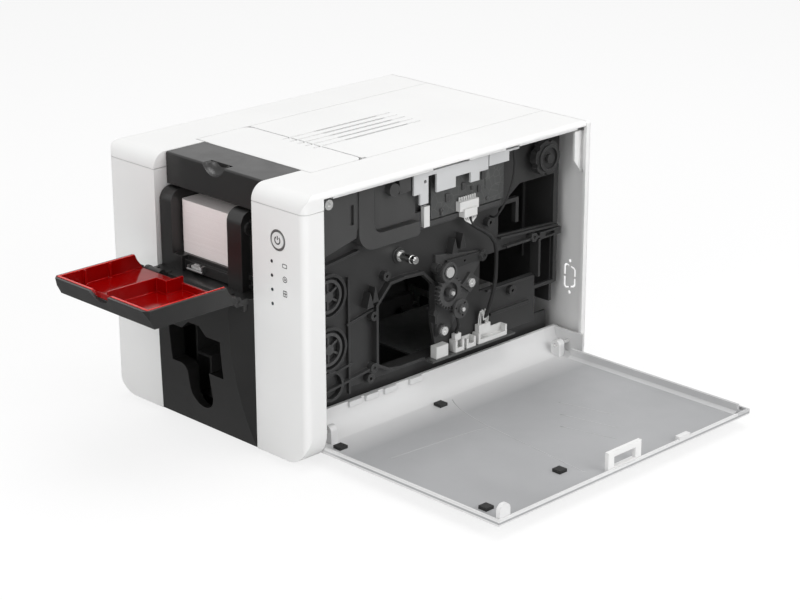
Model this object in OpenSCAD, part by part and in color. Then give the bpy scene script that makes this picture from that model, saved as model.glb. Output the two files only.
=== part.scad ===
// Desktop card printer with a drop-down side door, a flip-down card tray and a hinged lid.
// X runs to the right, Y to the back and Z up, in millimetres.
// The origin is on the table, under the middle of the housing.

/* [Housing] */
// Width of the housing
body_w = 205; // [203:0.5:215]
// Length of the housing, from the front columns to the rear wall
body_l = 285; // [283:1:300]
// Height of the top above the table
body_top = 192.5; // [191:0.5:200]
// Height of the rubber feet, which is the gap under the housing
foot_h = 4; // [3:0.5:5]
// Diameter of each rubber foot
foot_d = 16; // [12:1:20]
// Thickness of the housing walls
wall = 2.5; // [2:0.1:3]
// Radius of the two long lower edges
edge_r = 20; // [18:0.5:21]
// Radius of the top front edge
front_r = 11; // [9:0.5:12]
// Radius of the top rear edge
rear_r = 8; // [6:0.5:9]
// Radius of the upright corners
corner_r = 5; // [4:0.5:6]
// Radius of the two long top edges
top_r = 3; // [2.8:0.1:4]
// Visible seam between neighbouring covers
seam = 0.4; // [0.3:0.05:0.6]
// Half width of the opening between the front columns
bay_half = 51.2; // [49.5:0.1:51.5]
// Depth of the front columns
column_d = 17.7; // [16:0.5:18]
// Distance of the column seam below the top
cap_h = 11.2; // [11:0.1:12]
// Half width of the long panel between the top strips
lid_half = 60; // [59:0.5:61]

/* [Side door] */
// Distance of the hinge axis in from the side wall
hinge_in = 11.1; // [11:0.1:12]
// Height of the hinge axis above the bottom of the housing
hinge_up = 15.9; // [15.5:0.1:16]
// Diameter of the hinge pins
hinge_pin_d = 3; // [2.5:0.1:3.2]
// Clear space round the pins in their holes
pin_gap = 0.05; // [0.03:0.01:0.08]
// Depth of the rim round the door
rim_h = 2; // [1.5:0.1:2.5]
// Thickness of the rim
rim_t = 1.6; // [1.2:0.1:2]
// Distance of the top edge of the door below the top of the housing
door_drop = 4; // [3.5:0.1:4.5]
// Width of the rear band beside the door
rear_band = 7.5; // [6:0.5:8]
// Height of the latch loop above the inside of the door
latch_h = 14; // [12:0.5:14.5]
// Width of the latch loop
latch_w = 34; // [28:1:36]

/* [Lid] */
// Distance of the lid hinge behind the front of the housing
lid_hinge_y = 84.5; // [84:0.1:85]
// Distance of the lid hinge below the top
lid_hinge_z = 4.3; // [4:0.1:4.6]
// Diameter of the lid hinge pins
lid_pin_d = 3; // [2.5:0.1:3.2]
// Distance of the rear edge of the lid behind its hinge
lid_tail = 9.4; // [9:0.1:10]
// Length of the white part of the lid
lid_len = 48.4; // [46:0.2:49]
// Gap between the dark front hood and a column
hood_gap = 0.7; // [0.6:0.1:1.2]
// Height of the front face of the hood
hood_h = 22.9; // [20:0.1:24]
// Distance of the hood behind the front of the columns
hood_back = 10.7; // [10:0.1:12]

/* [Vents] */
// Number of vent slots
vent_n = 5; // [3:1:5]
// Spacing of the vent slots
vent_pitch = 8; // [7:0.5:9]
// Width of a vent slot
vent_w = 2.4; // [2:0.1:3]
// Length of a vent slot
vent_l = 62; // [50:1:70]

/* [Card feeder] */
// Length of a card
card_l = 86; // [85:0.5:87]
// Width of a card
card_w = 54; // [53:0.5:54]
// Height of the stack of cards
stack_h = 38; // [20:1:38]
// Height of the feeder floor above the table
sill_z = 123; // [122:0.5:123.5]

/* [Tray] */
// Gap between the tray and a column
tray_gap = 0.9; // [0.8:0.1:1.7]
// Height of the tray hinge above the table
tray_hinge_z = 112; // [111.5:0.1:112.5]
// Depth of the tray
tray_d = 13.3; // [12:0.1:14]
// Thickness of the tray walls
tray_t = 1.6; // [1.4:0.1:2]
// Diameter of the tray hinge pins
tray_pin_d = 3; // [2.5:0.1:3.2]
// Thickness of the red liner
liner_t = 1.2; // [1:0.1:1.4]

/* [Lower front] */
// Height of the top of the lower front panel above the table
panel_top = 107; // [106:0.5:107.5]
// How far the lower front panel bulges forward
bulge = 11.5; // [10:0.5:12]
// Radius of the bulge
bulge_r = 390; // [370:5:410]
// Half width of the bulge at its front
bulge_half = 37.4; // [36:0.2:39]
// Half width of the output opening
hopper_half = 27.5; // [27.2:0.1:28]
// Height of the floor of the output opening above the table
hopper_z = 50; // [48:0.5:51]
// Height of the output opening
hopper_h = 28; // [26:0.5:30]
// Radius of the thumb notch
notch_r = 12; // [10:0.5:13]
// Length of the output bin
bin_l = 92; // [90:1:100]

/* [Controls] */
// Radius of the power button
button_r = 5.6; // [5:0.1:6]
// Travel of the power button
button_travel = 1; // [0.6:0.1:1.2]
// Radius of the ring round the power button
ring_r = 7.4; // [7.2:0.1:8]
// Number of indicator lamps
led_n = 4; // [3:1:4]
// Spacing of the indicator lamps
led_pitch = 9.9; // [9:0.1:10]
// Diameter of an indicator lamp
led_d = 2.4; // [1.6:0.1:2.6]

/* [Mechanism] */
// Distance of the right mechanism plate in from the side wall
plate_in = 22.5; // [22:0.1:23]
// Thickness of the mechanism plates
plate_t = 2.5; // [2:0.1:3]
// Teeth on the large gear
gear_n = 24; // [20:1:28]
// Teeth on the small pinions
pinion_n = 10; // [9:1:12]
// Gear module, which is pitch diameter over teeth
gear_m = 0.95; // [0.9:0.01:0.98]
// Diameter of the gear shafts
shaft_d = 3; // [2.5:0.1:3.2]
// Diameter of the platen shaft
platen_d = 5; // [4:0.1:5.4]
// Radius of the knob at the rear
knob_r = 13; // [12:0.1:13]
// Radius of the spoked wheels
wheel_r = 12; // [10:0.5:12.5]
// Diameter of the stubs that the spoked wheels turn on
spool_d = 6; // [5:0.1:7]

/* [Hidden] */
$fn = 64;

xs = body_w / 2;
yf = -body_l / 2;
yr = body_l / 2;
zt = body_top;
zb = foot_h;
xp = xs - plate_in;
xi = bay_half;
hood_half = xi - hood_gap;
tray_half = xi - tray_gap;
seam_z = zt - cap_h;
col_y = yf + column_d;
band_y = yr - rear_band;
hx = xs - hinge_in;
hz = zb + hinge_up;
door_top = zt - door_drop;
lip_r = 19.2 + (edge_r - 20);
ly = yf + lid_hinge_y;
lz = zt - lid_hinge_z;
lid_y0 = ly + lid_tail - lid_len;
lid_y1 = ly + lid_tail;
hood_y = yf + hood_back;
pin_r = hinge_pin_d / 2;
ty = yf - bulge;
tz = tray_hinge_z;
tray_rim = tz + tray_d;
tray_len = zt - 1.7 - tz;
tray_y0 = ty - tray_len;
gy = yf + 146;
gz = zb + 87;
pr = gear_m * gear_n / 2;
pp = gear_m * pinion_n / 2;
gear_gap = 0.35;
mesh_c = pr + pp + gear_gap;
pin1_y = gy - 3;
pin1_z = gz + sqrt(mesh_c * mesh_c - 9);
pin2_y = gy + 9;
pin2_z = gz - sqrt(mesh_c * mesh_c - 81);
plat_y = yf + 107;
plat_z = zb + 121;
spool_y = yf + 38.5;
spool_z1 = zb + 108;
spool_z2 = zb + 70;
knob_y = yr - 35;
knob_z = zt - 24.6;
board_z = zb + 35;
btn_x = xs - 25.7;
btn_z = zt - 33.1;
led_x = xs - 32.1;
led_z = btn_z - 15.7;

// Routes of the fixed leads, as points on the mechanism side: how far inside
// the side wall, how far behind the front, and how far below the top
long_top = [[13.6, 169.5, 51], [13.6, 169.5, 54], [13.6, 171.2, 57.3], [13.2, 175.6, 60.6], [12.4, 182, 64.5],
  [11.4, 188.6, 69.5], [10.6, 192.6, 75.5], [10.4, 194, 82]];
thin_line = [[14.5, 215, 11.2], [14.5, 215, 13], [13.8, 215, 16], [13, 214.8, 22], [12.6, 213.5, 30],
  [12.6, 211, 38], [13, 207.5, 46], [14.2, 204, 53], [16.2, 201.2, 58], [18.6, 200, 60], [20.4, 200, 60],
  [22.5, 200, 60]];
thin_route = [for (r = thin_line) [r[0], r[1] * body_l / 285, r[2]]];
// The same, but with the last number above the bottom of the housing
long_low = [[10.6, 194.2, 99], [10.8, 194, 86], [11.4, 192.4, 75], [12.6, 190.4, 66.5], [15.5, 190, 57.5],
  [18.8, 190, 54.5], [19.2, 190, 52.5], [19.2, 190, 50.1]];
short_route = [[20.3, 159, 66.5], [18, 159, 66.5], [16.2, 159.3, 64.9], [15.4, 160, 61.5], [15.6, 161, 57.5],
  [17, 162, 54.5], [18.8, 162.5, 52.5], [19.2, 162.5, 51.5], [19.2, 162.5, 49.6]];

module along_y(y0, y1) {
  translate([0, y1, 0]) rotate([90, 0, 0]) linear_extrude(y1 - y0) children();
}
module along_x(x0, x1) {
  translate([x0, 0, 0]) rotate([90, 0, 90]) linear_extrude(x1 - x0) children();
}
module box(x0, y0, z0, x1, y1, z1) {
  translate([x0, y0, z0]) cube([x1 - x0, y1 - y0, z1 - z0]);
}
module rod_x(x0, x1, y, z, r) {
  translate([x0, y, z]) rotate([0, 90, 0]) cylinder(r = r, h = x1 - x0);
}
module rod_y(y0, y1, x, z, r) {
  translate([x, y0, z]) rotate([-90, 0, 0]) cylinder(r = r, h = y1 - y0);
}
module tube_x(x0, x1, y, z, r, b) {
  difference() {
    rod_x(x0, x1, y, z, r);
    rod_x(x0 - 1, x1 + 1, y, z, b);
  }
}
// Outside of one rounded corner, taken away from a square
module nib(x, y, sx, sy, r) {
  difference() {
    translate([x + (sx > 0 ? -1 : -r), y + (sy > 0 ? -1 : -r)]) square([r + 1, r + 1]);
    translate([x + sx * r, y + sy * r]) circle(r);
  }
}
module rounded(x0, y0, x1, y1, bl, br, tr, tl) {
  difference() {
    translate([x0, y0]) square([x1 - x0, y1 - y0]);
    if (bl > 0) nib(x0, y0, 1, 1, bl);
    if (br > 0) nib(x1, y0, -1, 1, br);
    if (tr > 0) nib(x1, y1, -1, -1, tr);
    if (tl > 0) nib(x0, y1, 1, -1, tl);
  }
}
module pill(x0, y0, x1, y1, r) {
  rounded(x0, y0, x1, y1, r, r, r, r);
}
// Solid of the whole housing, inset by i
module envelope(i) {
  intersection() {
    along_y(yf + i, yr - i)
      rounded(-xs + i, zb + i, xs - i, zt - i, edge_r - i, edge_r - i, top_r - i, top_r - i);
    translate([0, 0, zb]) linear_extrude(zt - zb)
      rounded(-xs + i, yf + i, xs - i, yr - i, corner_r - i, corner_r - i, corner_r - i, corner_r - i);
    along_x(-xs, xs) rounded(yf + i, zb + i, yr - i, zt - i, 0, 0, rear_r - i, front_r - i);
  }
}
module shell() {
  difference() {
    envelope(0);
    envelope(wall);
  }
}
// Tube swept along a route, with n sides
function unit(v) = v / norm(v);
function route_dir(p, i) = unit(p[min(i + 1, len(p) - 1)] - p[max(i - 1, 0)]);
function place(r) = [for (q = r) [xs - q[0], yf + q[1], zt - q[2]]];
function place_low(r) = [for (q = r) [xs - q[0], yf + q[1], zb + q[2]]];
module lead(p, r, n) {
  pts = [for (i = [0 : len(p) - 1])
    let (d = route_dir(p, i), a = unit(cross(d, [0.2, 0.9, 0.45])), b = cross(d, a))
    for (k = [0 : n - 1]) p[i] + r * (cos(360 * k / n) * a + sin(360 * k / n) * b)];
  sides = [for (i = [0 : len(p) - 2]) for (k = [0 : n - 1]) for (t = [0, 1])
    t == 0 ? [i * n + k, (i + 1) * n + k, (i + 1) * n + (k + 1) % n]
      : [i * n + k, (i + 1) * n + (k + 1) % n, i * n + (k + 1) % n]];
  cap0 = [[for (k = [0 : n - 1]) k]];
  cap1 = [[for (k = [0 : n - 1]) (len(p) - 1) * n + n - 1 - k]];
  polyhedron(points = pts, faces = concat(sides, cap0, cap1), convexity = 6);
}

// ---------- Housing ----------
module base_pan() {
  pan_x = hx - sqrt(lip_r * lip_r - (hinge_up - wall) * (hinge_up - wall)) - 0.3;
  py0 = col_y + seam;
  py1 = band_y - seam;
  color("#2b2b2b") difference() {
    union() {
      box(-xs + edge_r + seam, py0, zb, pan_x, py1, zb + wall);
      box(-xi + seam + wall + 1, yf + 3, zb, xi - seam - wall - 1, py0 + 1, zb + wall);
      box(-xs + edge_r + seam, py0, zb, -xs + edge_r + seam + 2, py1, zb + 12);
      box(-66, py1 - 2, zb, 66, py1, zb + 12);
      for (x = [-48, 48]) box(x - 2, py0, zb, x + 2, py1, zb + 8);
      for (s = [-1, 1]) for (y = [yf + 30, yr - 30])
        translate([s * 60, y, zb]) cylinder(d = 10, h = 9);
    }
    for (i = [0 : 3]) box(-40, -20.5 - i * 11, zb - 1, 40, -15.5 - i * 11, zb + wall + 1);
  }
}
module rubber_feet() {
  color("#1c1c1c") for (x = [-68, 68]) for (y = [yf + 24, yr - 24])
    translate([x, y, 0]) cylinder(d = foot_d, h = foot_h);
  // Middle pad, at the origin
  color("#1c1c1c") cylinder(d = foot_d, h = foot_h);
}
module left_cover() {
  color("#f2f2f0") intersection() {
    shell();
    box(-xs - 1, col_y + seam, zb - 1, -xs + edge_r, band_y - seam, seam_z - seam);
  }
  color("#f2f2f0") for (y = [col_y + 20, band_y - 26]) difference() {
    box(-xs + wall - 0.3, y, seam_z - 12, -xs + wall + 6, y + 6, seam_z - 4);
    rod_x(-xs + wall, 0, y + 3, seam_z - 8, 1.5);
  }
}
module column_solid() {
  intersection() {
    shell();
    box(xi, yf - 1, zb - 1, xs + 1, col_y, seam_z - seam);
  }
  intersection() {
    envelope(0);
    union() {
      box(xi, yf + 0.5, zb, xi + wall, col_y, seam_z - seam);
      box(xi, yf + 0.5, zb, xs - edge_r, col_y, zb + wall);
      box(xs - 8, col_y - 2, zb + edge_r + 4, xs - 1, col_y, seam_z - seam);
    }
  }
}
module left_column() {
  color("#f2f2f0") mirror([1, 0, 0]) column_solid();
}
module control_column() {
  color("#f2f2f0") difference() {
    union() {
      column_solid();
      rod_y(yf + 1, yf + wall + 4, btn_x, btn_z, ring_r + 1.2);
      // Seat of the front door pin
      intersection() {
        envelope(1);
        box(hx - 7, col_y - 3, zb + 1, xs - 1, col_y, hz + 7);
      }
      for (i = [0 : led_n - 1]) rod_y(yf + 1, yf + 5, led_x, led_z - i * led_pitch, led_d / 2 + 1);
    }
    rod_y(yf - 1, yf + 1.2, btn_x, btn_z, ring_r);
    rod_y(yf - 1, yf + 12, btn_x, btn_z, button_r + 0.3);
    for (i = [0 : led_n - 1]) rod_y(yf - 1, yf + 8, led_x, led_z - i * led_pitch, led_d / 2);
    rod_y(col_y - 4, col_y + 1, hx, hz, pin_r);
  }
}
module strip_solid() {
  difference() {
    union() {
      intersection() {
        shell();
        union() {
          box(lid_half + seam / 2, yf - 1, seam_z, xs + 1, band_y - seam, zt + 1);
          box(xi, yf - 1, seam_z, lid_half + 1, lid_y0 - seam, zt + 1);
        }
      }
      intersection() {
        envelope(0);
        union() {
          box(xi, yf + 1, seam_z, xi + wall, lid_y0 - seam, zt - 0.5);
          // Rail beside the lid, which carries the hinge boss
          box(lid_half + seam / 2, lid_y0 - seam, zt - 9, lid_half + seam / 2 + wall, band_y - 9, zt - 1);
          box(lid_half + seam / 2, ly - 5, zt - 9, lid_half + 7, ly + 5, zt - 1);
        }
      }
    }
    rod_x(lid_half - 2, lid_half + 7.5, ly, lz, lid_pin_d / 2 + pin_gap);
  }
}
module top_strip_left() {
  color("#f2f2f0") mirror([1, 0, 0]) strip_solid();
}
module top_strip_right() {
  color("#f2f2f0") difference() {
    strip_solid();
    box(xs - wall - 0.3, col_y + seam / 2, seam_z - 1, xs + 1, band_y + 1, door_top + seam);
  }
  // Recessed lip that the door closes over
  color("#f2f2f0") difference() {
    box(xs - wall - rim_h - 3.3, col_y + 2, zt - 7, xs - wall - rim_h - 0.7, band_y - 4, zt - 1);
    for (q = door_catches) box(xs - 20, dy0 + q[0] - 1, zt - 8, xs, dy0 + q[1] + 1, zt - wall);
  }
}
module top_centre_panel() {
  py0 = lid_y1 + 1.2;
  color("#f2f2f0") difference() {
    intersection() {
      shell();
      box(-lid_half + seam / 2, py0, zt - 12, lid_half - seam / 2, band_y - seam, zt + 1);
    }
    for (i = [0 : vent_n - 1]) let (x = (i - (vent_n - 1) / 2) * vent_pitch)
      translate([0, 0, zt - wall - 1]) linear_extrude(wall + 2)
        pill(x - vent_w / 2, py0 + 24, x + vent_w / 2, py0 + 24 + vent_l, vent_w / 2 - 0.02);
    for (i = [0 : vent_n - 1]) let (x = (i - (vent_n - 1) / 2) * vent_pitch)
      translate([0, 0, zt - 0.6]) linear_extrude(2)
        pill(x - vent_w / 2 + 0.3, py0 - 1, x + vent_w / 2 - 0.3, py0 + 24 + vent_l + 12, vent_w / 2 - 0.32);
    box(lid_half - 3, py0 - 1, zt - wall - 1, lid_half, py0 + 2.5, zt + 1);
  }
  color("#f2f2f0") for (s = [-1, 1])
    box(s * (lid_half - 12) - 1, py0 + 10, zt - 8, s * (lid_half - 12) + 1, yr - rear_r - 12, zt - wall + 0.1);
}
module rear_cover() {
  color("#f2f2f0") difference() {
    union() {
      intersection() {
        shell();
        box(-xs - 1, band_y, zb - 1, xs + 1, yr + 1, zt + 1);
      }
      // Short flange at the top beside the door, and its twin on the left
      for (s = [-1, 1]) translate([s * (xs - wall - rim_h - 1.7) - 1, 0, 0]) along_x(0, 2)
        polygon([[yr - 14, door_top - 4], [yr - 14, door_top - 26], [yr - 6, door_top - 36],
          [yr - 1, door_top - 36],
          [yr - 1, door_top - 4]]);
      for (s = [-1, 1]) box(s * (xs - wall - rim_h - 0.6) - 2.4, yr - 5, door_top - 34,
        s * (xs - wall - rim_h - 0.6) + 2.4, yr - 1, door_top - 4);
      rod_y(band_y, yr - 1, hx, hz, 4.6);
    }
    rod_y(band_y - 1, yr - 2.6, hx, hz, pin_r);
    // Mains inlet, data sockets and a knock-out
    box(-xs + 26.5, yr - 6, zb + 22, -xs + 54.5, yr + 1, zb + 42);
    box(-xs + 62.5, yr - 6, zb + 24, -xs + 76.5, yr + 1, zb + 38);
    box(-xs + 88.5, yr - 6, zb + 24, -xs + 106.5, yr + 1, zb + 40);
    // Outline of a port that can be broken out, with its two screw holes, in a thinned panel
    port_x = xs - 16.8;
    port_z = zb + 64;
    box(port_x - 8.4, yr - wall + 0.8, port_z - 15, port_x + 8.4, yr + 1, port_z + 15);
    for (z = [-12.4, 12.4]) rod_y(yr - 6, yr + 1, port_x, port_z + z, 1.4);
    along_y(yr - 6, yr + 1) difference() {
      translate([port_x, port_z])
        polygon([[-5.8, -8.2], [-4, -10], [4.2, -7.9], [5.8, -6.2], [5.8, 6.2], [4.2, 7.9], [-4, 10],
          [-5.8, 8.2]]);
      translate([port_x, port_z])
        polygon([[-4, -7.4], [-3, -8.4], [3.2, -6.6], [4, -5.6], [4, 5.6], [3.2, 6.6], [-3, 8.4], [-4, 7.4]]);
      translate([port_x - 7, port_z - 0.7]) square([14, 1.4]);
      translate([port_x - 0.6, port_z - 12]) square([1.2, 24]);
    }
    for (i = [0 : 6]) box(-xs + 26.5 + i * 8, yr - 5, zb + 110, -xs + 29.5 + i * 8, yr + 1, zb + 140);
  }
}
// ---------- Mechanism plates ----------
module rib(p, q, w, x0, x1) {
  d = norm(q - p);
  a = atan2(q[1] - p[1], q[0] - p[0]);
  translate([x0, p[0], p[1]]) rotate([a, 0, 0]) translate([0, -w / 2, -w / 2]) cube([x1 - x0, d + w, w]);
}
module boss(y, z, r, b, h) {
  tube_x(xp - 0.1, xp + h, y, z, r, b);
}
function frame_pt(y, z) = [yf + y, zb + z];
bay = [frame_pt(95.5, 104), frame_pt(82.5, 91), frame_pt(82.5, 47), frame_pt(96, 40), frame_pt(146, 33),
  frame_pt(140, 64), frame_pt(140, 92), frame_pt(127, 104), frame_pt(109.5, 105)];
module side_plate_right() {
  color("#4a4a4a") difference() {
    union() {
      along_x(xp - plate_t, xp) difference() {
        translate([yf + 12, hz + lip_r + 1]) square([body_l - 23.5, zt - 6 - hz - lip_r - 1]);
        polygon(bay);
        translate([yr - 95.5, zt - 114.5]) square([57, 26]);
        translate([yr - 36, zt - 125]) square([20.5, 36.5]);
        polygon([[yr - 76.5, zt - 76.5], [yr - 16.5, zt - 80], [yr - 16.5, zt - 42], [yr - 54, zt - 42],
          [yr - 76.5, zt - 56.5]]);
        translate([yr - 35.5, 0]) square([30, zb + 61]);
      }
      // The foot of the plate steps in to clear the door's swing
      box(xp - 11.5, yf + 8, zb + wall, xp - 9, yr - 12, hz + lip_r + 1);
      box(xp - 11.5, yf + 8, hz + lip_r + 1, xp, yr - 36, hz + lip_r + 3);
      for (i = [0 : len(bay) - 1]) if (i != 3) rib(bay[i], bay[(i + 1) % len(bay)], 2, xp - 0.1, xp + 5);
      // Ribs across the front part, beside the spool wheels
      rib(frame_pt(57, 83), frame_pt(82, 88), 1.6, xp - 0.1, xp + 2.5);
      rib(frame_pt(58, 33), frame_pt(58, 116), 1.6, xp - 0.1, xp + 2.5);
      rib(frame_pt(20, 46), frame_pt(60, 54), 1.6, xp - 0.1, xp + 2.5);
      rib(frame_pt(20, 38), frame_pt(82, 46), 1.6, xp - 0.1, xp + 4);
      rib(frame_pt(20, 128), frame_pt(66, 134), 1.6, xp - 0.1, xp + 4);
      rib(frame_pt(200, 54), frame_pt(240, 54), 2, xp - 0.1, xp + 3);
      rib([gy + 68, zt - 85.5], [yr - 37, zt - 85.5], 1.6, xp - 0.1, xp + 5);
      rib([yr - 76.5, zt - 78], [yr - 16, zt - 81.4], 1.6, xp - 0.1, xp + 4);
      rib(frame_pt(196, 73), frame_pt(244, 73), 1.6, xp - 0.1, xp + 3);
      for (q = [[74, 92], [79, 95], [157, 112], [165, 114]]) along_x(xp - 0.1, xp + 7)
        polygon([frame_pt(q[0] - 3, q[1]), frame_pt(q[0] + 3, q[1]), frame_pt(q[0], q[1] + 11)]);
      boss(yf + 92, zb + 110, 3.4, 1.3, 5);
      boss(yf + 80, zb + 84, 3.4, 1.3, 5);
      boss(yf + 79.5, zb + 46, 3.4, 1.3, 5);
      boss(yf + 76, zb + 39, 3.4, 1.3, 5);
      boss(yr - 89.4, zt - 63, 3.4, 1.3, 5);
      boss(yr - 43, zt - 84.5, 3.4, 1.3, 6);
      boss(yf + 140.1, zb + 71, 2.6, 1.1, 5);
      boss(yr - 63.7, zt - 121, 3.6, 1.3, 4);
      boss(plat_y, plat_z, 5.5, platen_d / 2 + 0.1, 1);
      boss(spool_y, spool_z1, wheel_r + 4, wheel_r + 2, 4);
      boss(spool_y, spool_z2, wheel_r + 4, wheel_r + 2, 4);
      boss(yf + 40, zb + 31 + wheel_r, wheel_r - 1, wheel_r - 3, 4);
      // Post in the rear window
      box(xp - plate_t, yr - 38.5, zt - 116, xp + 6, yr - 36.5, zt - 87);
    }
    // Slot that the main board passes through
    box(xp - 14, yf + 133.4, board_z - 0.4, xp + 0.3, yf + 220.6, board_z + 3);
    rod_x(xp - 20, xp + 20, plat_y, plat_z, platen_d / 2 + pin_gap);
    for (z = [spool_z1, spool_z2]) rod_x(xp - 20, xp + 1, spool_y, z, spool_d / 2 + pin_gap);
    rod_x(xp - 20, xp + 20, knob_y, knob_z, 3 + pin_gap);
  }
}
module cross_wall() {
  color("#4a4a4a") {
    difference() {
      box(-xp + plate_t, yr - 16.5, zb + 46, xp - plate_t, yr - 14.1, zt - 26);
      for (x = [-60, -20]) box(x, yr - 18, zb + 58, x + 22, yr - 13, zb + 72);
    }
    for (x = [-50, 0, 50]) box(x, yr - 18.5, zb + 76, x + 1.6, yr - 16.4, zt - 30);
  }
}
module side_plate_left() {
  color("#4a4a4a") mirror([1, 0, 0]) difference() {
    union() {
      along_x(xp - plate_t, xp) difference() {
        translate([yf + 12, zb + 13]) square([body_l - 23.5, zt - 19 - zb]);
        for (i = [0 : 3]) translate([yf + 60 + i * 48, zb + 40]) square([26, 34]);
      }
      box(xp - plate_t - 8, yf + 10, zb + wall, xp - plate_t + 0.1, yr - 14, zb + 15);
      for (z = [zb + 30, zt - 40]) box(xp - 0.1, yf + 24, z, xp + 4, yr - 20, z + 2);
    }
    rod_x(xp - 20, xp + 20, plat_y, plat_z, platen_d / 2 + pin_gap);
  }
}
// ---------- Front ----------
function bulge_y(z) = yf - bulge + (bulge_r - sqrt(bulge_r * bulge_r - (z - 98) * (z - 98)));
module panel_block() {
  n = 24;
  intersection() {
    along_x(-xi + seam, xi - seam) difference() {
      polygon(concat([[yf + 14, zb + 0.5]],
        [for (i = [0 : n]) let (z = zb + 0.5 + (panel_top + 5 - zb - 0.5) * i / n) [bulge_y(z), z]],
        [[yf + 14, panel_top + 5]]));
      translate([ty - 2, panel_top + 5 - 8]) difference() {
        square([10, 9]);
        translate([10, 0]) circle(8);
      }
      // Clear space for the tray's knuckles
      translate([ty, tz]) circle(5.4);
      translate([ty - 12, tz - 5.4]) square([12, 20]);
    }
    translate([0, 0, zb]) linear_extrude(panel_top + 10 - zb)
      polygon([[-xi + seam, yf + 14], [-xi + seam, yf], [-bulge_half, ty - 0.6], [bulge_half, ty - 0.6],
        [xi - seam, yf], [xi - seam, yf + 14]]);
  }
}
module hopper_cut(z0, z1) {
  translate([-hopper_half, z0]) square([2 * hopper_half, z1 - z0]);
}
module front_panel() {
  // Ears that hold the tray's pins
  color("#333332") for (s = [-1, 1]) for (e = [-1, 1])
    along_x(s * 40 + e * 6.8 - 1.4, s * 40 + e * 6.8 + 1.4) difference() {
      union() {
        translate([ty, tz]) circle(3.6);
        translate([ty, tz - 3.6]) square([9, 4.4]);
        translate([ty + 5, tz - 8]) square([3, 8]);
      }
      translate([ty, tz]) circle(tray_pin_d / 2 + pin_gap);
    }
  color("#333332") difference() {
    panel_block();
    // Hollow behind the front skin
    box(-xi + seam + wall, yf + 2.5, zb - 1, xi - seam - wall, yf + 15, panel_top + 2.5);
    along_y(ty - 5, yf + 20) {
      hopper_cut(hopper_z, hopper_z + hopper_h);
      polygon([[-14, hopper_z + hopper_h - 1], [14, hopper_z + hopper_h - 1], [6, hopper_z + hopper_h + 6],
        [-6, hopper_z + hopper_h + 6]]);
      translate([-notch_r, 20 + notch_r]) square([2 * notch_r, hopper_z - 19 - notch_r]);
      translate([0, 20 + notch_r]) circle(notch_r);
      difference() {
        translate([-notch_r - 7, hopper_z - 7]) square([8, 8]);
        translate([-notch_r - 7, hopper_z - 7]) circle(7);
      }
    }
  }
}
module output_bin() {
  y0 = yf + 14.4;
  color("#1e1e1e") difference() {
    box(-hopper_half - 2, y0, 18, hopper_half + 2, y0 + bin_l, hopper_z + hopper_h + 8);
    box(-hopper_half, y0 - 1, hopper_z, hopper_half, y0 + bin_l - 2, hopper_z + hopper_h + 6);
    box(-notch_r - 1, y0 - 1, 19.5, notch_r + 1, y0 + 26, hopper_z + 1);
    box(-hopper_half, y0 + 30, zb, hopper_half, y0 + bin_l - 2, hopper_z - 2);
    box(-hopper_half, y0 - 1, 19.5, -notch_r - 3, y0 + 28, hopper_z - 2);
    box(notch_r + 3, y0 - 1, 19.5, hopper_half, y0 + 28, hopper_z - 2);
  }
  // Two legs that stand on the base pan
  color("#1e1e1e") for (s = [-1, 1]) for (y = [y0 + 4, y0 + bin_l - 10])
    box(s * 26 - 2, y, zb + wall, s * 26 + 2, y + 6, 18.1);
}
card_x0 = -37.5;
card_y0 = yf + 11;
post_y = yf + 3.3;
post_top = zt - hood_h - 1.6;
module post(x0, x1) {
  along_x(x0, x1) rounded(post_y, panel_top + 5, card_y0 + 30, post_top, 0, 0, 0, 9);
}
module feeder_frame() {
  fx1 = card_x0 + card_w;
  color("#2d2c2b") difference() {
    union() {
      post(-xi + 1, -28);
      post(fx1 + 5, 36);
      // Right-hand cheek behind the post, and the floor under the cards
      box(35, post_y + 8, panel_top + 5, xi - seam, post_y + 24, post_top - 6);
      box(-xi + 1, post_y + 6, sill_z - 3, xi - seam, card_y0 + card_l, sill_z);
      box(-xi + 1, card_y0 + 20, sill_z - 3, card_x0 - 0.3, card_y0 + card_l, post_top - 6);
      box(fx1 + 0.3, card_y0 + 20, sill_z - 3, fx1 + 3, card_y0 + card_l, post_top - 6);
      // Front sill
      box(-29, post_y + 3, panel_top + 6, fx1 + 6, post_y + 6, sill_z - 4);
      box(-29, post_y + 3, sill_z - 7, fx1 + 6, card_y0 + 22, sill_z - 3);
      box(-xi + 1, post_y + 6, panel_top + 7, xi - seam, card_y0 + 22, panel_top + 9);
      tube_x(35.5, 37.5, post_y + 8, sill_z + 33, 5, 1.6);
      // Slots that carry the floor on the side plates
      box(-xp + plate_t, card_y0 + 46, sill_z - 3, -xi + 2, card_y0 + 56, sill_z - 0.4);
      box(xi - 2, card_y0 + 46, sill_z - 3, xp - plate_t, card_y0 + 56, sill_z - 0.4);
      // Bearings of the feed roller
      for (s = [-1, 1]) box(s * 17 - 3, card_y0 + 30, roller_z - 4, s * 17 + 3, card_y0 + 38, sill_z - 2.9);
    }
    // Card pocket
    box(card_x0 - 0.3, post_y - 1, sill_z, fx1 + 0.3, card_y0 + card_l + 1, sill_z + 50);
    for (s = [-1, 1]) rod_x(s * 17 - 4, s * 17 + 4, card_y0 + 34, roller_z, 2 + pin_gap);
    box(-6, card_y0 + 24, sill_z - 12, 6, card_y0 + 44, sill_z + 1);
    box(-27, card_y0 + 44, sill_z - 4, 12, card_y0 + 76, sill_z);
  }
}
module card_stack() {
  color("#e6dedc") box(card_x0, card_y0, sill_z, card_x0 + card_w, card_y0 + card_l, sill_z + stack_h);
}
roller_z = sill_z - 6.4;
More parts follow.
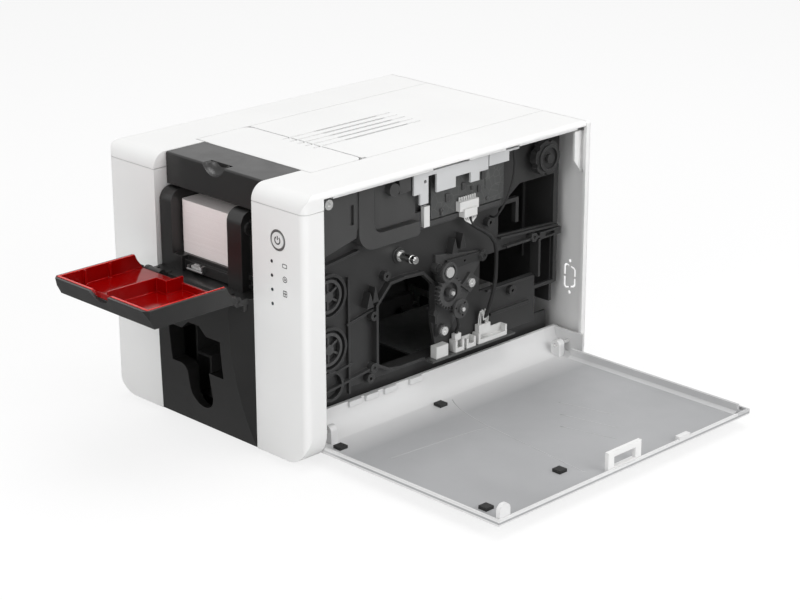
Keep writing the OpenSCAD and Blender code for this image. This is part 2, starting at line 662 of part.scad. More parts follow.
module feed_roller() {
  color("#3a3a3a") {
    rod_x(-5.4, 5.4, card_y0 + 34, roller_z, 6);
    rod_x(-24, 24, card_y0 + 34, roller_z, 2);
  }
}
module sill_clip() {
  color("silver") {
    box(-20, post_y + 1.6, sill_z - 9, -9, post_y + 3, sill_z - 5);
    box(-17, post_y + 1.6, sill_z - 5.1, -12, post_y + 3, sill_z - 3.5);
  }
}
module spring_wire() {
  color("#8a8a8a") {
    rod_x(-22.5, -6, post_y + 0.3, panel_top + 8.4, 1);
    box(-7.2, post_y - 0.2, panel_top + 8.4, -6, post_y + 3, panel_top + 13);
    box(-22.5, post_y - 0.2, panel_top + 8.4, -21.3, post_y + 3, panel_top + 11);
  }
}
// ---------- Right-hand bay ----------
module upper_housing() {
  x0 = xp;
  x1 = xs - 13.5;
  color("#484848") difference() {
    union() {
      // Front part with its long slot
      along_x(x0, x1 - 1) polygon([[yf + 21, zt - 52], [yf + 60, zt - 43], [yf + 66, zt - 20], [yf + 66, zt - 8],
        [yf + 21, zt - 8]]);
      // Duct that turns back under the housing
      along_x(x0, x1) difference() {
        rounded(yf + 62, zt - 54, yf + 120, zt - 8, 14, 3, 1, 1);
        rounded(yf + 76, zt - 44, yf + 140, zt - 2, 8, 0, 0, 0);
      }
      along_x(x0, x1 - 3) rounded(yf + 79, zt - 42, yf + 118, zt - 8, 3, 3, 1, 1);
      along_x(x0, x1 - 6) translate([yf + 70, zt - 50]) square([48, 42]);
      // Round motor boss and its clamp
      rod_x(x0, x1 + 2.5, yf + 93, zt - 15.5, 4.6);
      box(x0, yf + 99, zt - 20, x1 + 1, yf + 110, zt - 10);
      // Base that runs back behind the board
      box(x0, yf + 117, zt - 53, x0 + 3, yf + 206, zt - 40);
      box(x0, yf + 132, zt - 51, x0 + 5, yf + 206, zt - 48);
    }
    box(x1 - 3, yf + 55, zt - 33, x1 + 1, yf + 58, zt - 19);
    rod_x(x0 - 1, x1 + 1, yf + 34, zt - 13.5, 2);
    rod_x(x1 - 5, x1 + 1, yf + 64, zt - 51, 1.4);
  }
}
module upper_board() {
  color("#3c3c3c") {
    box(xp + 3.2, yf + 134.5, zt - 47, xp + 4.8, yf + 208.5, zt - 12);
    box(xp + 4.8, yf + 189, zt - 36, xp + 5.2, yf + 204, zt - 20);
    rod_x(xp + 4.8, xp + 6.4, yf + 145.5, zt - 44.5, 2.2);
    rod_x(xp + 4.8, xp + 5.6, yf + 191.5, zt - 43.5, 1.6);
    box(xp, yf + 134.5, zt - 40, xp + 3.3, yf + 137, zt - 12);
    box(xp, yf + 206.2, zt - 40, xp + 3.3, yf + 208.5, zt - 12);
  }
}
module housing_brackets() {
  x0 = xs - 13.3;
  color("#dcdcda") difference() {
    union() {
      box(x0, yf + 112, zt - 24, x0 + 1.6, yf + 122, zt - 6.4);
      box(x0, yf + 118, zt - 32, x0 + 1.6, yf + 126, zt - 12);
      box(x0, yf + 134, zt - 26, x0 + 1.6, yf + 177, zt - 9.6);
      box(x0, yf + 176, zt - 20, x0 + 1.6, yf + 186, zt - 9.6);
      box(x0, yf + 187, zt - 18, x0 + 1.6, yf + 207.5, zt - 9.6);
      box(xp, yf + 112, zt - 7.8, x0 + 1.6, yf + 122, zt - 6.4);
      box(x0, yf + 118, zt - 12.5, x0 + 1.6, yf + 135, zt - 9.6);
      box(xp, yf + 134, zt - 11.2, x0 + 1.6, yf + 186, zt - 9.6);
      box(xp, yf + 187, zt - 11.2, x0 + 1.6, yf + body_l * 0.765, zt - 9.6);
    }
    box(x0 - 1, yf + 153, zt - 28, x0 + 3, yf + 168, zt - 18.5);
    rod_x(x0 - 1, x0 + 3, yf + 123, zt - 16, 1.2);
  }
}
gear_x = xp + 9;
module gear_plate() {
  color("#444444") difference() {
    union() {
      along_x(xp, xp + 2.2) polygon([[gy - 4, gz + 26], [gy + 48, gz + 18], [gy + 34, gz + 2],
        [gy + 32, gz - 8], [gy + 8, gz - 36], [gy - 2, gz - 36], [gy - 3, gz - 18], [gy - 3, gz - 4]]);
      for (q = [[gy, gz], [pin1_y, pin1_z], [pin2_y, pin2_z]]) tube_x(xp, xp + 5, q[0], q[1], 4, shaft_d / 2);
      along_x(xp + 2.1, xp + 5) polygon([[gy + 20, gz - 2], [gy + 29, gz + 6], [gy + 38, gz - 1], [gy + 29, gz - 9]]);
      rod_x(xp + 2.1, xp + 5, gy + 1.4, gz - 31, 4.5);
    }
    for (q = [[gy, gz], [pin1_y, pin1_z], [pin2_y, pin2_z]]) rod_x(xp - 1, xp + 6, q[0], q[1], shaft_d / 2);
  }
}
module gear_shafts() {
  color("#d0d0d0") {
    rod_x(xp, gear_x + 7.4, gy, gz, shaft_d / 2);
    rod_x(xp, gear_x + 5.8, pin1_y, pin1_z, shaft_d / 2);
    rod_x(gear_x + 5.6, gear_x + 7.2, pin1_y, pin1_z, 3.8);
    rod_x(xp, gear_x + 9, pin2_y, pin2_z, shaft_d / 2);
  }
}
module toothed(n, m, w) {
  ro = m * n / 2 + m * 0.8;
  rr = m * n / 2 - m * 1.15;
  intersection() {
    circle(ro);
    union() {
      circle(rr);
      for (k = [0 : n - 1]) rotate(360 * k / n)
        polygon([[rr - 1, -w * 1.25], [ro, -w * 0.55], [ro + 1, 0], [ro, w * 0.55], [rr - 1, w * 1.25]]);
    }
  }
}
module main_gear() {
  color("#2e2e2e") difference() {
    union() {
      translate([gear_x, gy, gz]) rotate([90, 0, 90]) linear_extrude(4) toothed(gear_n, gear_m, 0.62);
      rod_x(gear_x - 3.4, gear_x + 6, gy, gz, 3.4);
    }
    rod_x(gear_x - 5, gear_x + 8, gy, gz, shaft_d / 2 + pin_gap);
    translate([gear_x + 1.2, gy, gz]) rotate([0, 90, 0]) difference() {
      cylinder(r = pr - 4.2, h = 4);
      translate([0, 0, -1]) cylinder(r = 3.4, h = 7);
    }
  }
}
module pinion(y, z, turn) {
  translate([gear_x + 0.4, y, z]) rotate([turn, 0, 0]) rotate([90, 0, 90])
    linear_extrude(3.2) toothed(pinion_n, gear_m, 0.55);
}
// The pinions are turned so that a gap faces a tooth of the large gear
function mesh_turn(y, z) = let (a = atan2(z - gz, y - gy), g = 360 / gear_n, p = 360 / pinion_n,
  off = a - g * floor(a / g)) a + 180 + p / 2 + off * gear_n / pinion_n;
module drive_pulley() {
  color("#2e2e2e") difference() {
    union() {
      pinion(pin1_y, pin1_z, mesh_turn(pin1_y, pin1_z));
      rod_x(gear_x + 4.4, gear_x + 5.2, pin1_y, pin1_z, 7.3);
      rod_x(gear_x - 3.4, gear_x + 5, pin1_y, pin1_z, 3.4);
      tube_x(gear_x + 5.1, gear_x + 6.4, pin1_y, pin1_z, 7.3, 5.6);
    }
    rod_x(gear_x - 5, gear_x + 9, pin1_y, pin1_z, shaft_d / 2 + pin_gap);
    for (a = [0, 180]) translate([gear_x + 4.6, pin1_y, pin1_z]) rotate([a, 0, 0])
      translate([0, 3.8, 0]) rotate([0, 90, 0]) cylinder(r = 1.1, h = 3);
  }
}
module idler_gear() {
  color("#2e2e2e") difference() {
    union() {
      pinion(pin2_y, pin2_z, mesh_turn(pin2_y, pin2_z));
      rod_x(gear_x + 4.4, gear_x + 6.2, pin2_y, pin2_z, 7.1);
      rod_x(gear_x - 3.4, gear_x + 8, pin2_y, pin2_z, 3.4);
    }
    rod_x(gear_x - 5, gear_x + 9, pin2_y, pin2_z, shaft_d / 2 + pin_gap);
    for (a = [45, 165, 285]) translate([gear_x + 4.6, pin2_y, pin2_z]) rotate([a, 0, 0])
      translate([0, 5.2, 0]) rotate([0, 90, 0]) cylinder(r = 0.9, h = 3);
  }
}
module tension_arm() {
  ay = gy + 41;
  az = gz + 16;
  color("#333333") difference() {
    union() {
      along_x(xp + 2.4, xp + 4.6) polygon([[pin1_y + 8.5, pin1_z - 4], [ay, az - 3], [ay, az + 3],
        [pin1_y + 8.5, pin1_z + 4]]);
      rod_x(xp + 2.4, xp + 6, ay, az, 4);
    }
    for (t = [0.35, 0.6]) rod_x(xp + 2, xp + 5, pin1_y + (ay - pin1_y) * t, pin1_z + (az - pin1_z) * t, 1);
  }
  color("#e8e8e8") tube_x(xp + 6, xp + 7, ay, az, 3, 1.6);
}
platen_r = 8;
module platen_roller() {
  color("#2a2a2a") difference() {
    rod_x(-28, 28, plat_y, plat_z, platen_r);
    rod_x(-29, 29, plat_y, plat_z, platen_d / 2);
  }
}
module platen_shaft() {
  color("#d8d8d8") {
    rod_x(-xp + 0.5, xp + 1.7, plat_y, plat_z, platen_d / 2);
    rod_x(xp + 1.6, xp + 3.2, plat_y, plat_z, 4);
    rod_x(xp + 3.1, xs - 4.9, plat_y, plat_z, 2.7);
    rod_x(xs - 5, xs - 4.1, plat_y, plat_z, 2.1);
  }
  color("#222222") tube_x(xp + 5, xs - 8.5, plat_y, plat_z, 3.1, 2.7);
}
module spoked_wheel(z) {
  x0 = xp + 0.4;
  tube_x(x0, x0 + 3, spool_y, z, wheel_r, wheel_r - 2.2);
  rod_x(x0, x0 + 3.6, spool_y, z, 3.6);
  for (a = [0 : 60 : 300]) translate([x0, spool_y, z]) rotate([a, 0, 0])
    translate([0, -0.8, 2]) cube([2, 1.6, wheel_r - 3]);
}
// Each wheel turns on a stub in the plate, with a flange behind it
module wheel(z) {
  color("#232323") {
    spoked_wheel(z);
    rod_x(xp - plate_t - 1.5, xp + 1, spool_y, z, spool_d / 2);
    rod_x(xp - plate_t - 3, xp - plate_t - 0.3, spool_y, z, spool_d / 2 + 1.5);
  }
}
module wheel_upper() {
  wheel(spool_z1);
}
module wheel_lower() {
  wheel(spool_z2);
}
module print_head() {
  hy = plat_y - 7.5;
  color("#5a5a5a") {
    box(-30, hy, plat_z + platen_r + 0.4, 30, hy + 20, plat_z + platen_r + 7);
    box(-30, hy + 18, plat_z + platen_r + 5, 30, hy + 22, zt - 22);
    for (s = [-1, 1]) box(s * (xp - plat_in_gap) - 1, hy + 8, plat_z + platen_r + 2,
      s * (xp - plat_in_gap) + 1, hy + 22, zt - 22);
    box(-xp + plate_t + 0.05, hy + 18, zt - 30, xp - plate_t - 0.05, hy + 21, zt - 22);
  }
}
plat_in_gap = plate_t + 1.05;
module rear_knob() {
  color("#3a3a3a") {
    rod_x(xp - 3.6, xp + 6, knob_y, knob_z, 3);
    rod_x(xp - plate_t - 2, xp - plate_t - 0.3, knob_y, knob_z, 4.5);
    // Grip with hollows round its edge, a raised ring and a hub
    translate([xp + 4, knob_y, knob_z]) rotate([90, 0, 90]) linear_extrude(6) difference() {
      circle(knob_r);
      for (k = [0 : 5]) rotate(20 + 60 * k) translate([knob_r + 0.8, 0]) circle(2.4);
    }
    tube_x(xp + 9.9, xp + 12, knob_y, knob_z, knob_r - 3, knob_r - 5);
    rod_x(xp + 9.9, xp + 13, knob_y, knob_z, 3.4);
  }
}
module main_board() {
  color("#1d2a22") difference() {
    box(0, yf + 134, board_z, xs - 14.5, yf + 220, board_z + 1.6);
    box(xp - 14, yf + 0, board_z - 1, xp + 0.3, yf + 137.6, board_z + 3);
    for (x = [6, xp - 16]) for (y = [yf + 142, yf + 212]) translate([x, y, board_z - 1]) cylinder(d = 3.2, h = 4);
  }
  color("#444444") for (x = [6, xp - 16]) for (y = [yf + 142, yf + 212])
    translate([x, y, zb + wall]) cylinder(d = 6, h = board_z - zb - wall);
}
module header(y0, y1, h, d) {
  z0 = board_z + 1.6;
  difference() {
    box(xs - 15.4 - d, y0, z0, xs - 15.4, y1, z0 + h);
    box(xs - 14.6 - d, y0 + 0.8, z0 + 2, xs - 16.2, y1 - 0.8, z0 + h + 1);
    box(xs - 16.4, y0 + 2, z0 + 3, xs - 15, y1 - 2, z0 + h + 1);
  }
}
module board_connectors() {
  z0 = board_z + 1.6;
  color("#d8d8d8") {
    box(xs - 21.9, yf + 139, z0, xs - 16, yf + 151, z0 + 9);
    header(yf + 158, yf + 167, 9, 6.5);
    header(yf + 169.5, yf + 179, 7.5, 6.5);
    header(yf + 182, yf + 212, 8, 6.5);
    box(xs - 21, yf + 159.4, z0 + 8, xs - 17.4, yf + 165.6, z0 + 13);
    box(xs - 21.4, yf + 184, z0 + 6, xs - 17, yf + 196, z0 + 13.5);
    // Socket beside the upper board, and the plug of the long lead with its row of contacts
    box(xp + 3, yf + 126.5, zt - 51, xp + 6.2, yf + 132, zt - 36);
    box(xp + 4.8, yf + 159.5, zt - 46.4, xp + 9, yf + 178.5, zt - 39.5);
    box(xp + 5.1, yf + 162.5, zt - 51, xp + 10.5, yf + 175.5, zt - 45);
    for (i = [0 : 7]) box(xp + 6, yf + 160.8 + i * 2.2, zt - 39.6, xp + 7, yf + 161.8 + i * 2.2, zt - 36.5);
  }
}
module harness_long() {
  color("#1a1a1a") lead(concat(place(long_top), place_low(long_low)), 1.5, 8);
}
module harness_short() {
  color("#1a1a1a") lead(place_low(short_route), 1.3, 8);
}
module harness_thin() {
  color("#1a1a1a") lead(place(thin_route), 0.8, 8);
}
screw_pts = [[gy + 29, gz - 1.5, 5], [gy + 1.4, gz - 31, 5]];
module bay_screws() {
  color("#cfcfcf") for (q = screw_pts) difference() {
    rod_x(xp + q[2], xp + q[2] + 1.8, q[0], q[1], 3.2);
    rod_x(xp + q[2] + 1, xp + q[2] + 3, q[0], q[1], 1.1);
  }
  color("#cfcfcf") difference() {
    rod_x(xs - 14.5, xs - 12.5, yf + 34, zt - 13.5, 3.6);
    rod_x(xs - 13.2, xs - 11, yf + 34, zt - 13.5, 1.2);
  }
}
module flange_brackets() {
  color("#3b3b3b") {
    box(xp - plate_t - 4, yr - 84, zt - 56, xp - plate_t, yr - 52, zt - 53);
    box(xp - plate_t - 4, yr - 55, zt - 72, xp - plate_t, yr - 52, zt - 53);
    difference() {
      box(xp, yr - 36, zt - 88, xp + 5, yr - 13, zt - 82.6);
      box(xp + 1.5, yr - 30, zt - 86.6, xp + 6, yr - 20, zt - 84);
    }
  }
}
// ---------- Controls ----------
module power_button() {
  color("#e8e8e6") {
    rod_y(yf - 0.3, yf + 4.5, btn_x, btn_z, button_r);
    rod_y(yf + 4.4, yf + 9, btn_x, btn_z, 2.5);
  }
}
module button_ring() {
  color("#9a9a98") difference() {
    rod_y(yf + 0.3, yf + 1.2, btn_x, btn_z, ring_r - 0.05);
    rod_y(yf - 1, yf + 2, btn_x, btn_z, button_r + 0.3);
  }
}
module indicator_lamps() {
  color("#2f3436") for (i = [0 : led_n - 1])
    rod_y(yf - 0.1, yf + 6, led_x, led_z - i * led_pitch, led_d / 2 - 0.05);
}
// ---------- Lid ----------
module lid_panel() {
  color("#f2f2f0") difference() {
    union() {
      translate([0, 0, zt - wall]) linear_extrude(wall) rounded(-lid_half + seam / 2, lid_y0,
        lid_half - seam / 2, lid_y1, 0, 0, 7, 7);
      for (s = [-1, 1]) box(s * (lid_half - 6) - 3, ly - 3.4, zt - 7.8,
        s * (lid_half - 6) + 3, ly + 3.4, zt - wall + 0.1);
      box(-lid_half + 12, lid_y0 + 3, zt - 5, lid_half - 12, lid_y0 + 5, zt - wall + 0.1);
    }
    box(-lid_half - 1, lid_y0 - 1, zt - wall - 1, -hood_half + 5, lid_y0 + 0.6, zt + 1);
    for (i = [0 : vent_n - 1]) let (x = (i - (vent_n - 1) / 2) * vent_pitch)
      box(x - vent_w / 2 + 0.3, lid_y1 - 6, zt - 0.6, x + vent_w / 2 - 0.3, lid_y1 + 1, zt + 1);
    rod_x(-lid_half - 1, lid_half + 1, ly, lz, lid_pin_d / 2);
  }
}
module lid_hood() {
  hy1 = lid_y0 - 0.02;
  color("#3a3938") difference() {
    union() {
      along_x(-hood_half, hood_half) difference() {
        rounded(hood_y, zt - hood_h, hy1, zt - 0.2, 0, 0, 0, 1.5);
        translate([hood_y + wall, zt - hood_h - 1]) square([60, hood_h + 0.8 - wall]);
      }
      for (s = [-1, 1]) box(s * (hood_half - 1) - 1, hood_y + 1, zt - hood_h + 6,
        s * (hood_half - 1) + 1, hy1, zt - 1);
      // Tongue under the white part
      box(-hood_half + 14, hy1 - 1, zt - wall - 2.2, hood_half - 14, hy1 + 2.6, zt - wall - 0.05);
      box(-hood_half + 14, hy1 - 3, zt - wall - 2.2, hood_half - 14, hy1 - 0.5, zt - 1);
    }
    // Finger notch in the front edge
    translate([0, hood_y - 2.6, zt + 4.4]) rotate([-90, 0, 0]) cylinder(r = 12.4, h = 11);
  }
}
module lid_pins() {
  color("#c8c8c8") for (s = [-1, 1]) rod_x(s > 0 ? lid_half - 8 : -lid_half - 6.6,
    s > 0 ? lid_half + 6.6 : -lid_half + 8, ly, lz, lid_pin_d / 2);
}
// ---------- Tray ----------
module tray_shell() {
  color("#333332") difference() {
    union() {
      difference() {
        along_x(-tray_half, tray_half) polygon([[tray_y0, tray_rim], [tray_y0 + 7, tz], [ty - 2, tz],
          [ty - 2.4, tz + 3.4], [ty - 6, tz + 5.4], [ty - 9, tz + 9], [ty - 11, tray_rim]]);
        along_x(-tray_half + tray_t, tray_half - tray_t) polygon([[tray_y0 + 2, tray_rim + 1],
          [tray_y0 + 8.6, tz + tray_t], [ty + 2, tz + tray_t], [ty + 2, tray_rim + 1]]);
      }
      // Knuckles under the rear end
      for (s = [-1, 1]) rod_x(s * 40 - 5, s * 40 + 5, ty, tz, 3.4);
      for (s = [-1, 1]) box(s * 40 - 5, ty - 8, tz, s * 40 + 5, ty, tz + 1.6);
    }
    for (s = [-1, 1]) rod_x(s * 40 - 6, s * 40 + 6, ty, tz, tray_pin_d / 2);
    // Clearance round the panel's ears
    for (s = [-1, 1]) for (e = [-1, 1]) rod_x(s * 40 + e * 6.8 - 1.8, s * 40 + e * 6.8 + 1.8, ty, tz, 4.3);
    // Bevelled front corners
    for (s = [-1, 1]) translate([s * tray_half, tray_y0, tz - 1]) rotate([0, 0, 45])
      translate([-2.6, -2.6, 0]) cube([5.2, 5.2, 30]);
    // Finger notch in the front rim
    translate([0, tray_y0 - 4, tray_rim + 4]) rotate([-90, 0, 0]) cylinder(r = 11, h = 9);
  }
}
module tray_liner() {
  g = 0.1;
  x0 = -tray_half + tray_t + g;
  x1 = tray_half - tray_t - g;
  z0 = tz + tray_t + 0.05;
  top = tray_rim + 0.3;
  color("#c80000") difference() {
    union() {
      difference() {
        along_x(x0, x1) polygon([[tray_y0 + 2.4, top], [tray_y0 + 9, z0], [ty - 4.4, z0], [ty - 6.4, z0 + 4],
          [ty - 9, z0 + 7.5], [ty - 11, top]]);
        along_x(x0 + liner_t, x1 - liner_t) polygon([[tray_y0 + 2.6 + liner_t, top + 1],
          [tray_y0 + 9.6 + liner_t, z0 + liner_t], [ty + 5, z0 + liner_t], [ty + 5, top + 1]]);
      }
      // Divider with its jog, and the low wall behind the right compartment
      box(-2.6, tray_y0 + 9.5, z0, -1.4, ty - 27.5, top - 1.2);
      box(-2.6, ty - 28.7, z0, 9, ty - 27.5, top - 1.2);
      box(7.8, ty - 28.7, z0, 9, ty - 14, top - 1.2);
      box(7.8, ty - 15.2, z0, x1 - 1, ty - 14, z0 + 6);
      for (y = [tray_y0 + 24, tray_y0 + 45]) box(x0, y, z0, x0 + 3, y + 1.4, top - 0.6);
      for (x = [-12, 18]) box(x, tray_y0 + 9.6, z0, x + 1.2, tray_y0 + 12.4, z0 + 7);
    }
    translate([0, tray_y0 - 4, tray_rim + 4]) rotate([-90, 0, 0]) cylinder(r = 11, h = 9);
  }
}
module tray_pins() {
  color("#303030") for (s = [-1, 1]) rod_x(s * 40 - 8, s * 40 + 8, ty, tz, tray_pin_d / 2);
}
// ---------- Side door, drawn closed and then swung open ----------
module opened() {
  translate([hx, 0, hz]) rotate([0, 90, 0]) translate([-hx, 0, -hz]) children();
}
dy0 = col_y + seam;
dy1 = band_y - seam;
// Stretches of the top edge where a catch stands, from the front edge of the door
door_catches = [[2, 12], [107, 107 + latch_w], [180, 192]];
module door_panel() {
  color("#ededec") opened() difference() {
    union() {
      along_y(dy0, dy1) difference() {
        rounded(xs - edge_r, zb, xs, door_top, 0, edge_r, 1, 0);
        rounded(xs - edge_r - 1, zb + wall, xs - wall, door_top + 1, 0, edge_r - wall, 0, 0);
      }
      // Rim round the inside
      for (y = [dy0, dy1 - rim_t]) along_y(y, y + rim_t) difference() {
        rounded(xs - edge_r, zb + 1, xs - 1, door_top, 0, edge_r - 1, 0, 0);
        rounded(xs - edge_r - 1, zb + wall + rim_h, xs - wall - rim_h, door_top + 1, 0,
          edge_r - wall - rim_h, 0, 0);
      }
      // End wall that closes the curl at the rear
      box(hx - 8.4, dy1 - rim_t, hz - 14.4, xs - wall + 0.1, dy1, hz + 14.6);
      // Rail beside the rear edge, with a sloped foot
      translate([0, 0, hz + 10]) linear_extrude(door_top - hz - 14) polygon([[xs - wall + 0.1, dy1 - 13],
        [xs - wall, dy1 - 13], [xs - wall - 2, dy1 - 9.8], [xs - wall - 6.6, dy1 - 9.4], [xs - wall - 6.6, dy1 - 7.2],
        [xs - wall + 0.1, dy1 - 7]]);
      box(xs - wall - rim_h, dy0, door_top - rim_t, xs - 1, dy1, door_top);
      // Ears on the hinge axis, and the low tabs along the curled edge
      for (y = [dy0 + 10, dy1 - 16]) along_y(y, y + 6) difference() {
        union() {
          translate([hx, hz]) circle(4);
          translate([hx, hz - 4]) square([xs - 1 - hx, 8]);
        }
        translate([xs - 1, hz - 8]) square([10, 20]);
      }
      for (y = [dy0 + 42, dy0 + 58, dy0 + 76, dy0 + 101])
        box(xs - edge_r, y, zb + 0.5, xs - edge_r + 4, y + 12, zb + wall + 2);
      // Foot of the latch loop and the small catches
      translate([0, 0, door_top - rim_t - 3]) linear_extrude(3.1)
        rounded(xs - wall - 11, dy0 + 2, xs - wall + 0.1, dy0 + 12, 4.4, 0, 0, 4.4);
      box(xs - wall - 4, dy0 + 180, door_top - 4, xs - wall + 0.1, dy0 + 192, door_top);
    }
    for (y = [dy0 + 9, dy1 - 17]) rod_y(y, y + 8, hx, hz, pin_r + pin_gap);
    rod_y(dy1 - 3, dy1 + 1, hx, hz, pin_r + pin_gap);
  }
}
latch_y = dy0 + 107;
module latch_loop() {
  x1 = xs - wall;
  z1 = door_top - rim_t - 0.05;
  color("#ededec") opened() difference() {
    box(x1 - latch_h, latch_y, z1 - 3, x1, latch_y + latch_w, z1);
    box(x1 - latch_h + 4, latch_y + 6, z1 - 4, x1 - 3, latch_y + latch_w - 6, z1 + 1);
  }
}
module door_pads() {
  x1 = xs - wall;
  color("#1c1c1c") opened() {
    for (q = [[7, 25], [7, 160], [83, 155], [109, 20]]) let (y = dy0 + q[0], z = zb + q[1])
      box(x1 - 2.2, y, z, x1, y + 7, z + 7);
  }
}
module door_pins() {
  color("#b0b0b0") {
    rod_y(col_y - 3, dy0 + 16.5, hx, hz, pin_r);
    rod_y(dy1 - 16.5, yr - 2.6, hx, hz, pin_r);
  }
}
// ---------- Rear sockets ----------
module inlet_socket() {
  color("#1b1b1b") difference() {
    box(-xs + 26.7, yr - 16, zb + 22.2, -xs + 54.3, yr - 0.4, zb + 41.8);
    box(-xs + 29, yr - 13, zb + 24.5, -xs + 52, yr + 1, zb + 39.5);
  }
  color("#c0c0c0") for (x = [-xs + 34.5, -xs + 40.5, -xs + 46.5])
    box(x - 1, yr - 13.1, zb + 30, x + 1, yr - 5, zb + 34);
}
module data_sockets() {
  color("#c8c8c8") {
    difference() {
      box(-xs + 62.7, yr - 14, zb + 24.2, -xs + 76.3, yr - 0.4, zb + 37.8);
      box(-xs + 64.2, yr - 12, zb + 25.7, -xs + 74.8, yr + 1, zb + 36.3);
    }
    difference() {
      box(-xs + 88.7, yr - 14, zb + 24.2, -xs + 106.3, yr - 0.4, zb + 39.8);
      box(-xs + 90.2, yr - 12, zb + 25.7, -xs + 104.8, yr + 1, zb + 38.3);
    }
  }
}

base_pan();
rubber_feet();
left_cover();
left_column();
control_column();
top_strip_left();
top_strip_right();
top_centre_panel();
rear_cover();
side_plate_right();
side_plate_left();
cross_wall();
front_panel();
output_bin();
feeder_frame();
card_stack();
feed_roller();
sill_clip();
spring_wire();
upper_housing();
upper_board();
housing_brackets();
gear_plate();
gear_shafts();
tension_arm();
main_gear();
drive_pulley();
idler_gear();
platen_roller();
platen_shaft();
wheel_upper();
wheel_lower();
print_head();
rear_knob();
main_board();
board_connectors();
harness_long();
harness_short();
harness_thin();
bay_screws();
flange_brackets();
power_button();
button_ring();
indicator_lamps();
lid_panel();
lid_hood();
lid_pins();
tray_shell();
tray_liner();
tray_pins();
door_panel();
latch_loop();
door_pads();
door_pins();
inlet_socket();
data_sockets();
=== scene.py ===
# Desktop card printer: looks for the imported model, with the side door and the card tray open.
import bpy
import math
import numpy as np
from mathutils import Matrix, Vector


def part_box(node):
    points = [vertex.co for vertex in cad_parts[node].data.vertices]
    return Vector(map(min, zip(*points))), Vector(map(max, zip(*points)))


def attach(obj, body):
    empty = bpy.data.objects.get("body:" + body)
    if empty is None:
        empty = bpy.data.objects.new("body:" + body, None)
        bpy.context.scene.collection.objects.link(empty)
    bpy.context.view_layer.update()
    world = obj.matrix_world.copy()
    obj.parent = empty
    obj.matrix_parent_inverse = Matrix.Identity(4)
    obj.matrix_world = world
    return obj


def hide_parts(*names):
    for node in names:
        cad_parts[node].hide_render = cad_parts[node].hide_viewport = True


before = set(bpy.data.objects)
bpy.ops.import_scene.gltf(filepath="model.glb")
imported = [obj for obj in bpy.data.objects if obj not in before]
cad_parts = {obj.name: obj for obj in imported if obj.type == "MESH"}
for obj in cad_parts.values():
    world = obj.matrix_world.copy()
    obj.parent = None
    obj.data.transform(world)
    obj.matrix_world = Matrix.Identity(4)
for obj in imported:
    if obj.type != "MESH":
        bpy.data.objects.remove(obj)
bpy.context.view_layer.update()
rng = np.random.default_rng(7)

# ---------------------------------------------------------------- camera
YAW, PITCH, ROLL = math.radians(45.39), math.radians(19.63), math.radians(-0.10)
forward = Vector((-math.sin(YAW) * math.cos(PITCH), math.cos(YAW) * math.cos(PITCH), -math.sin(PITCH)))
across = Vector((math.cos(YAW), math.sin(YAW), 0))
above = across.cross(forward)
across, above = (math.cos(ROLL) * across + math.sin(ROLL) * above,
                 -math.sin(ROLL) * across + math.cos(ROLL) * above)
camera = bpy.data.objects.new("camera", bpy.data.cameras.new("camera"))
bpy.context.collection.objects.link(camera)
turn = Matrix((across, above, -forward)).transposed().to_4x4()
camera.matrix_world = Matrix.Translation((1.0850, -1.0249, 0.5949)) @ turn
camera.data.sensor_width = 36
camera.data.lens = 96.86
camera.data.clip_start, camera.data.clip_end = 0.05, 30
bpy.context.scene.camera = camera


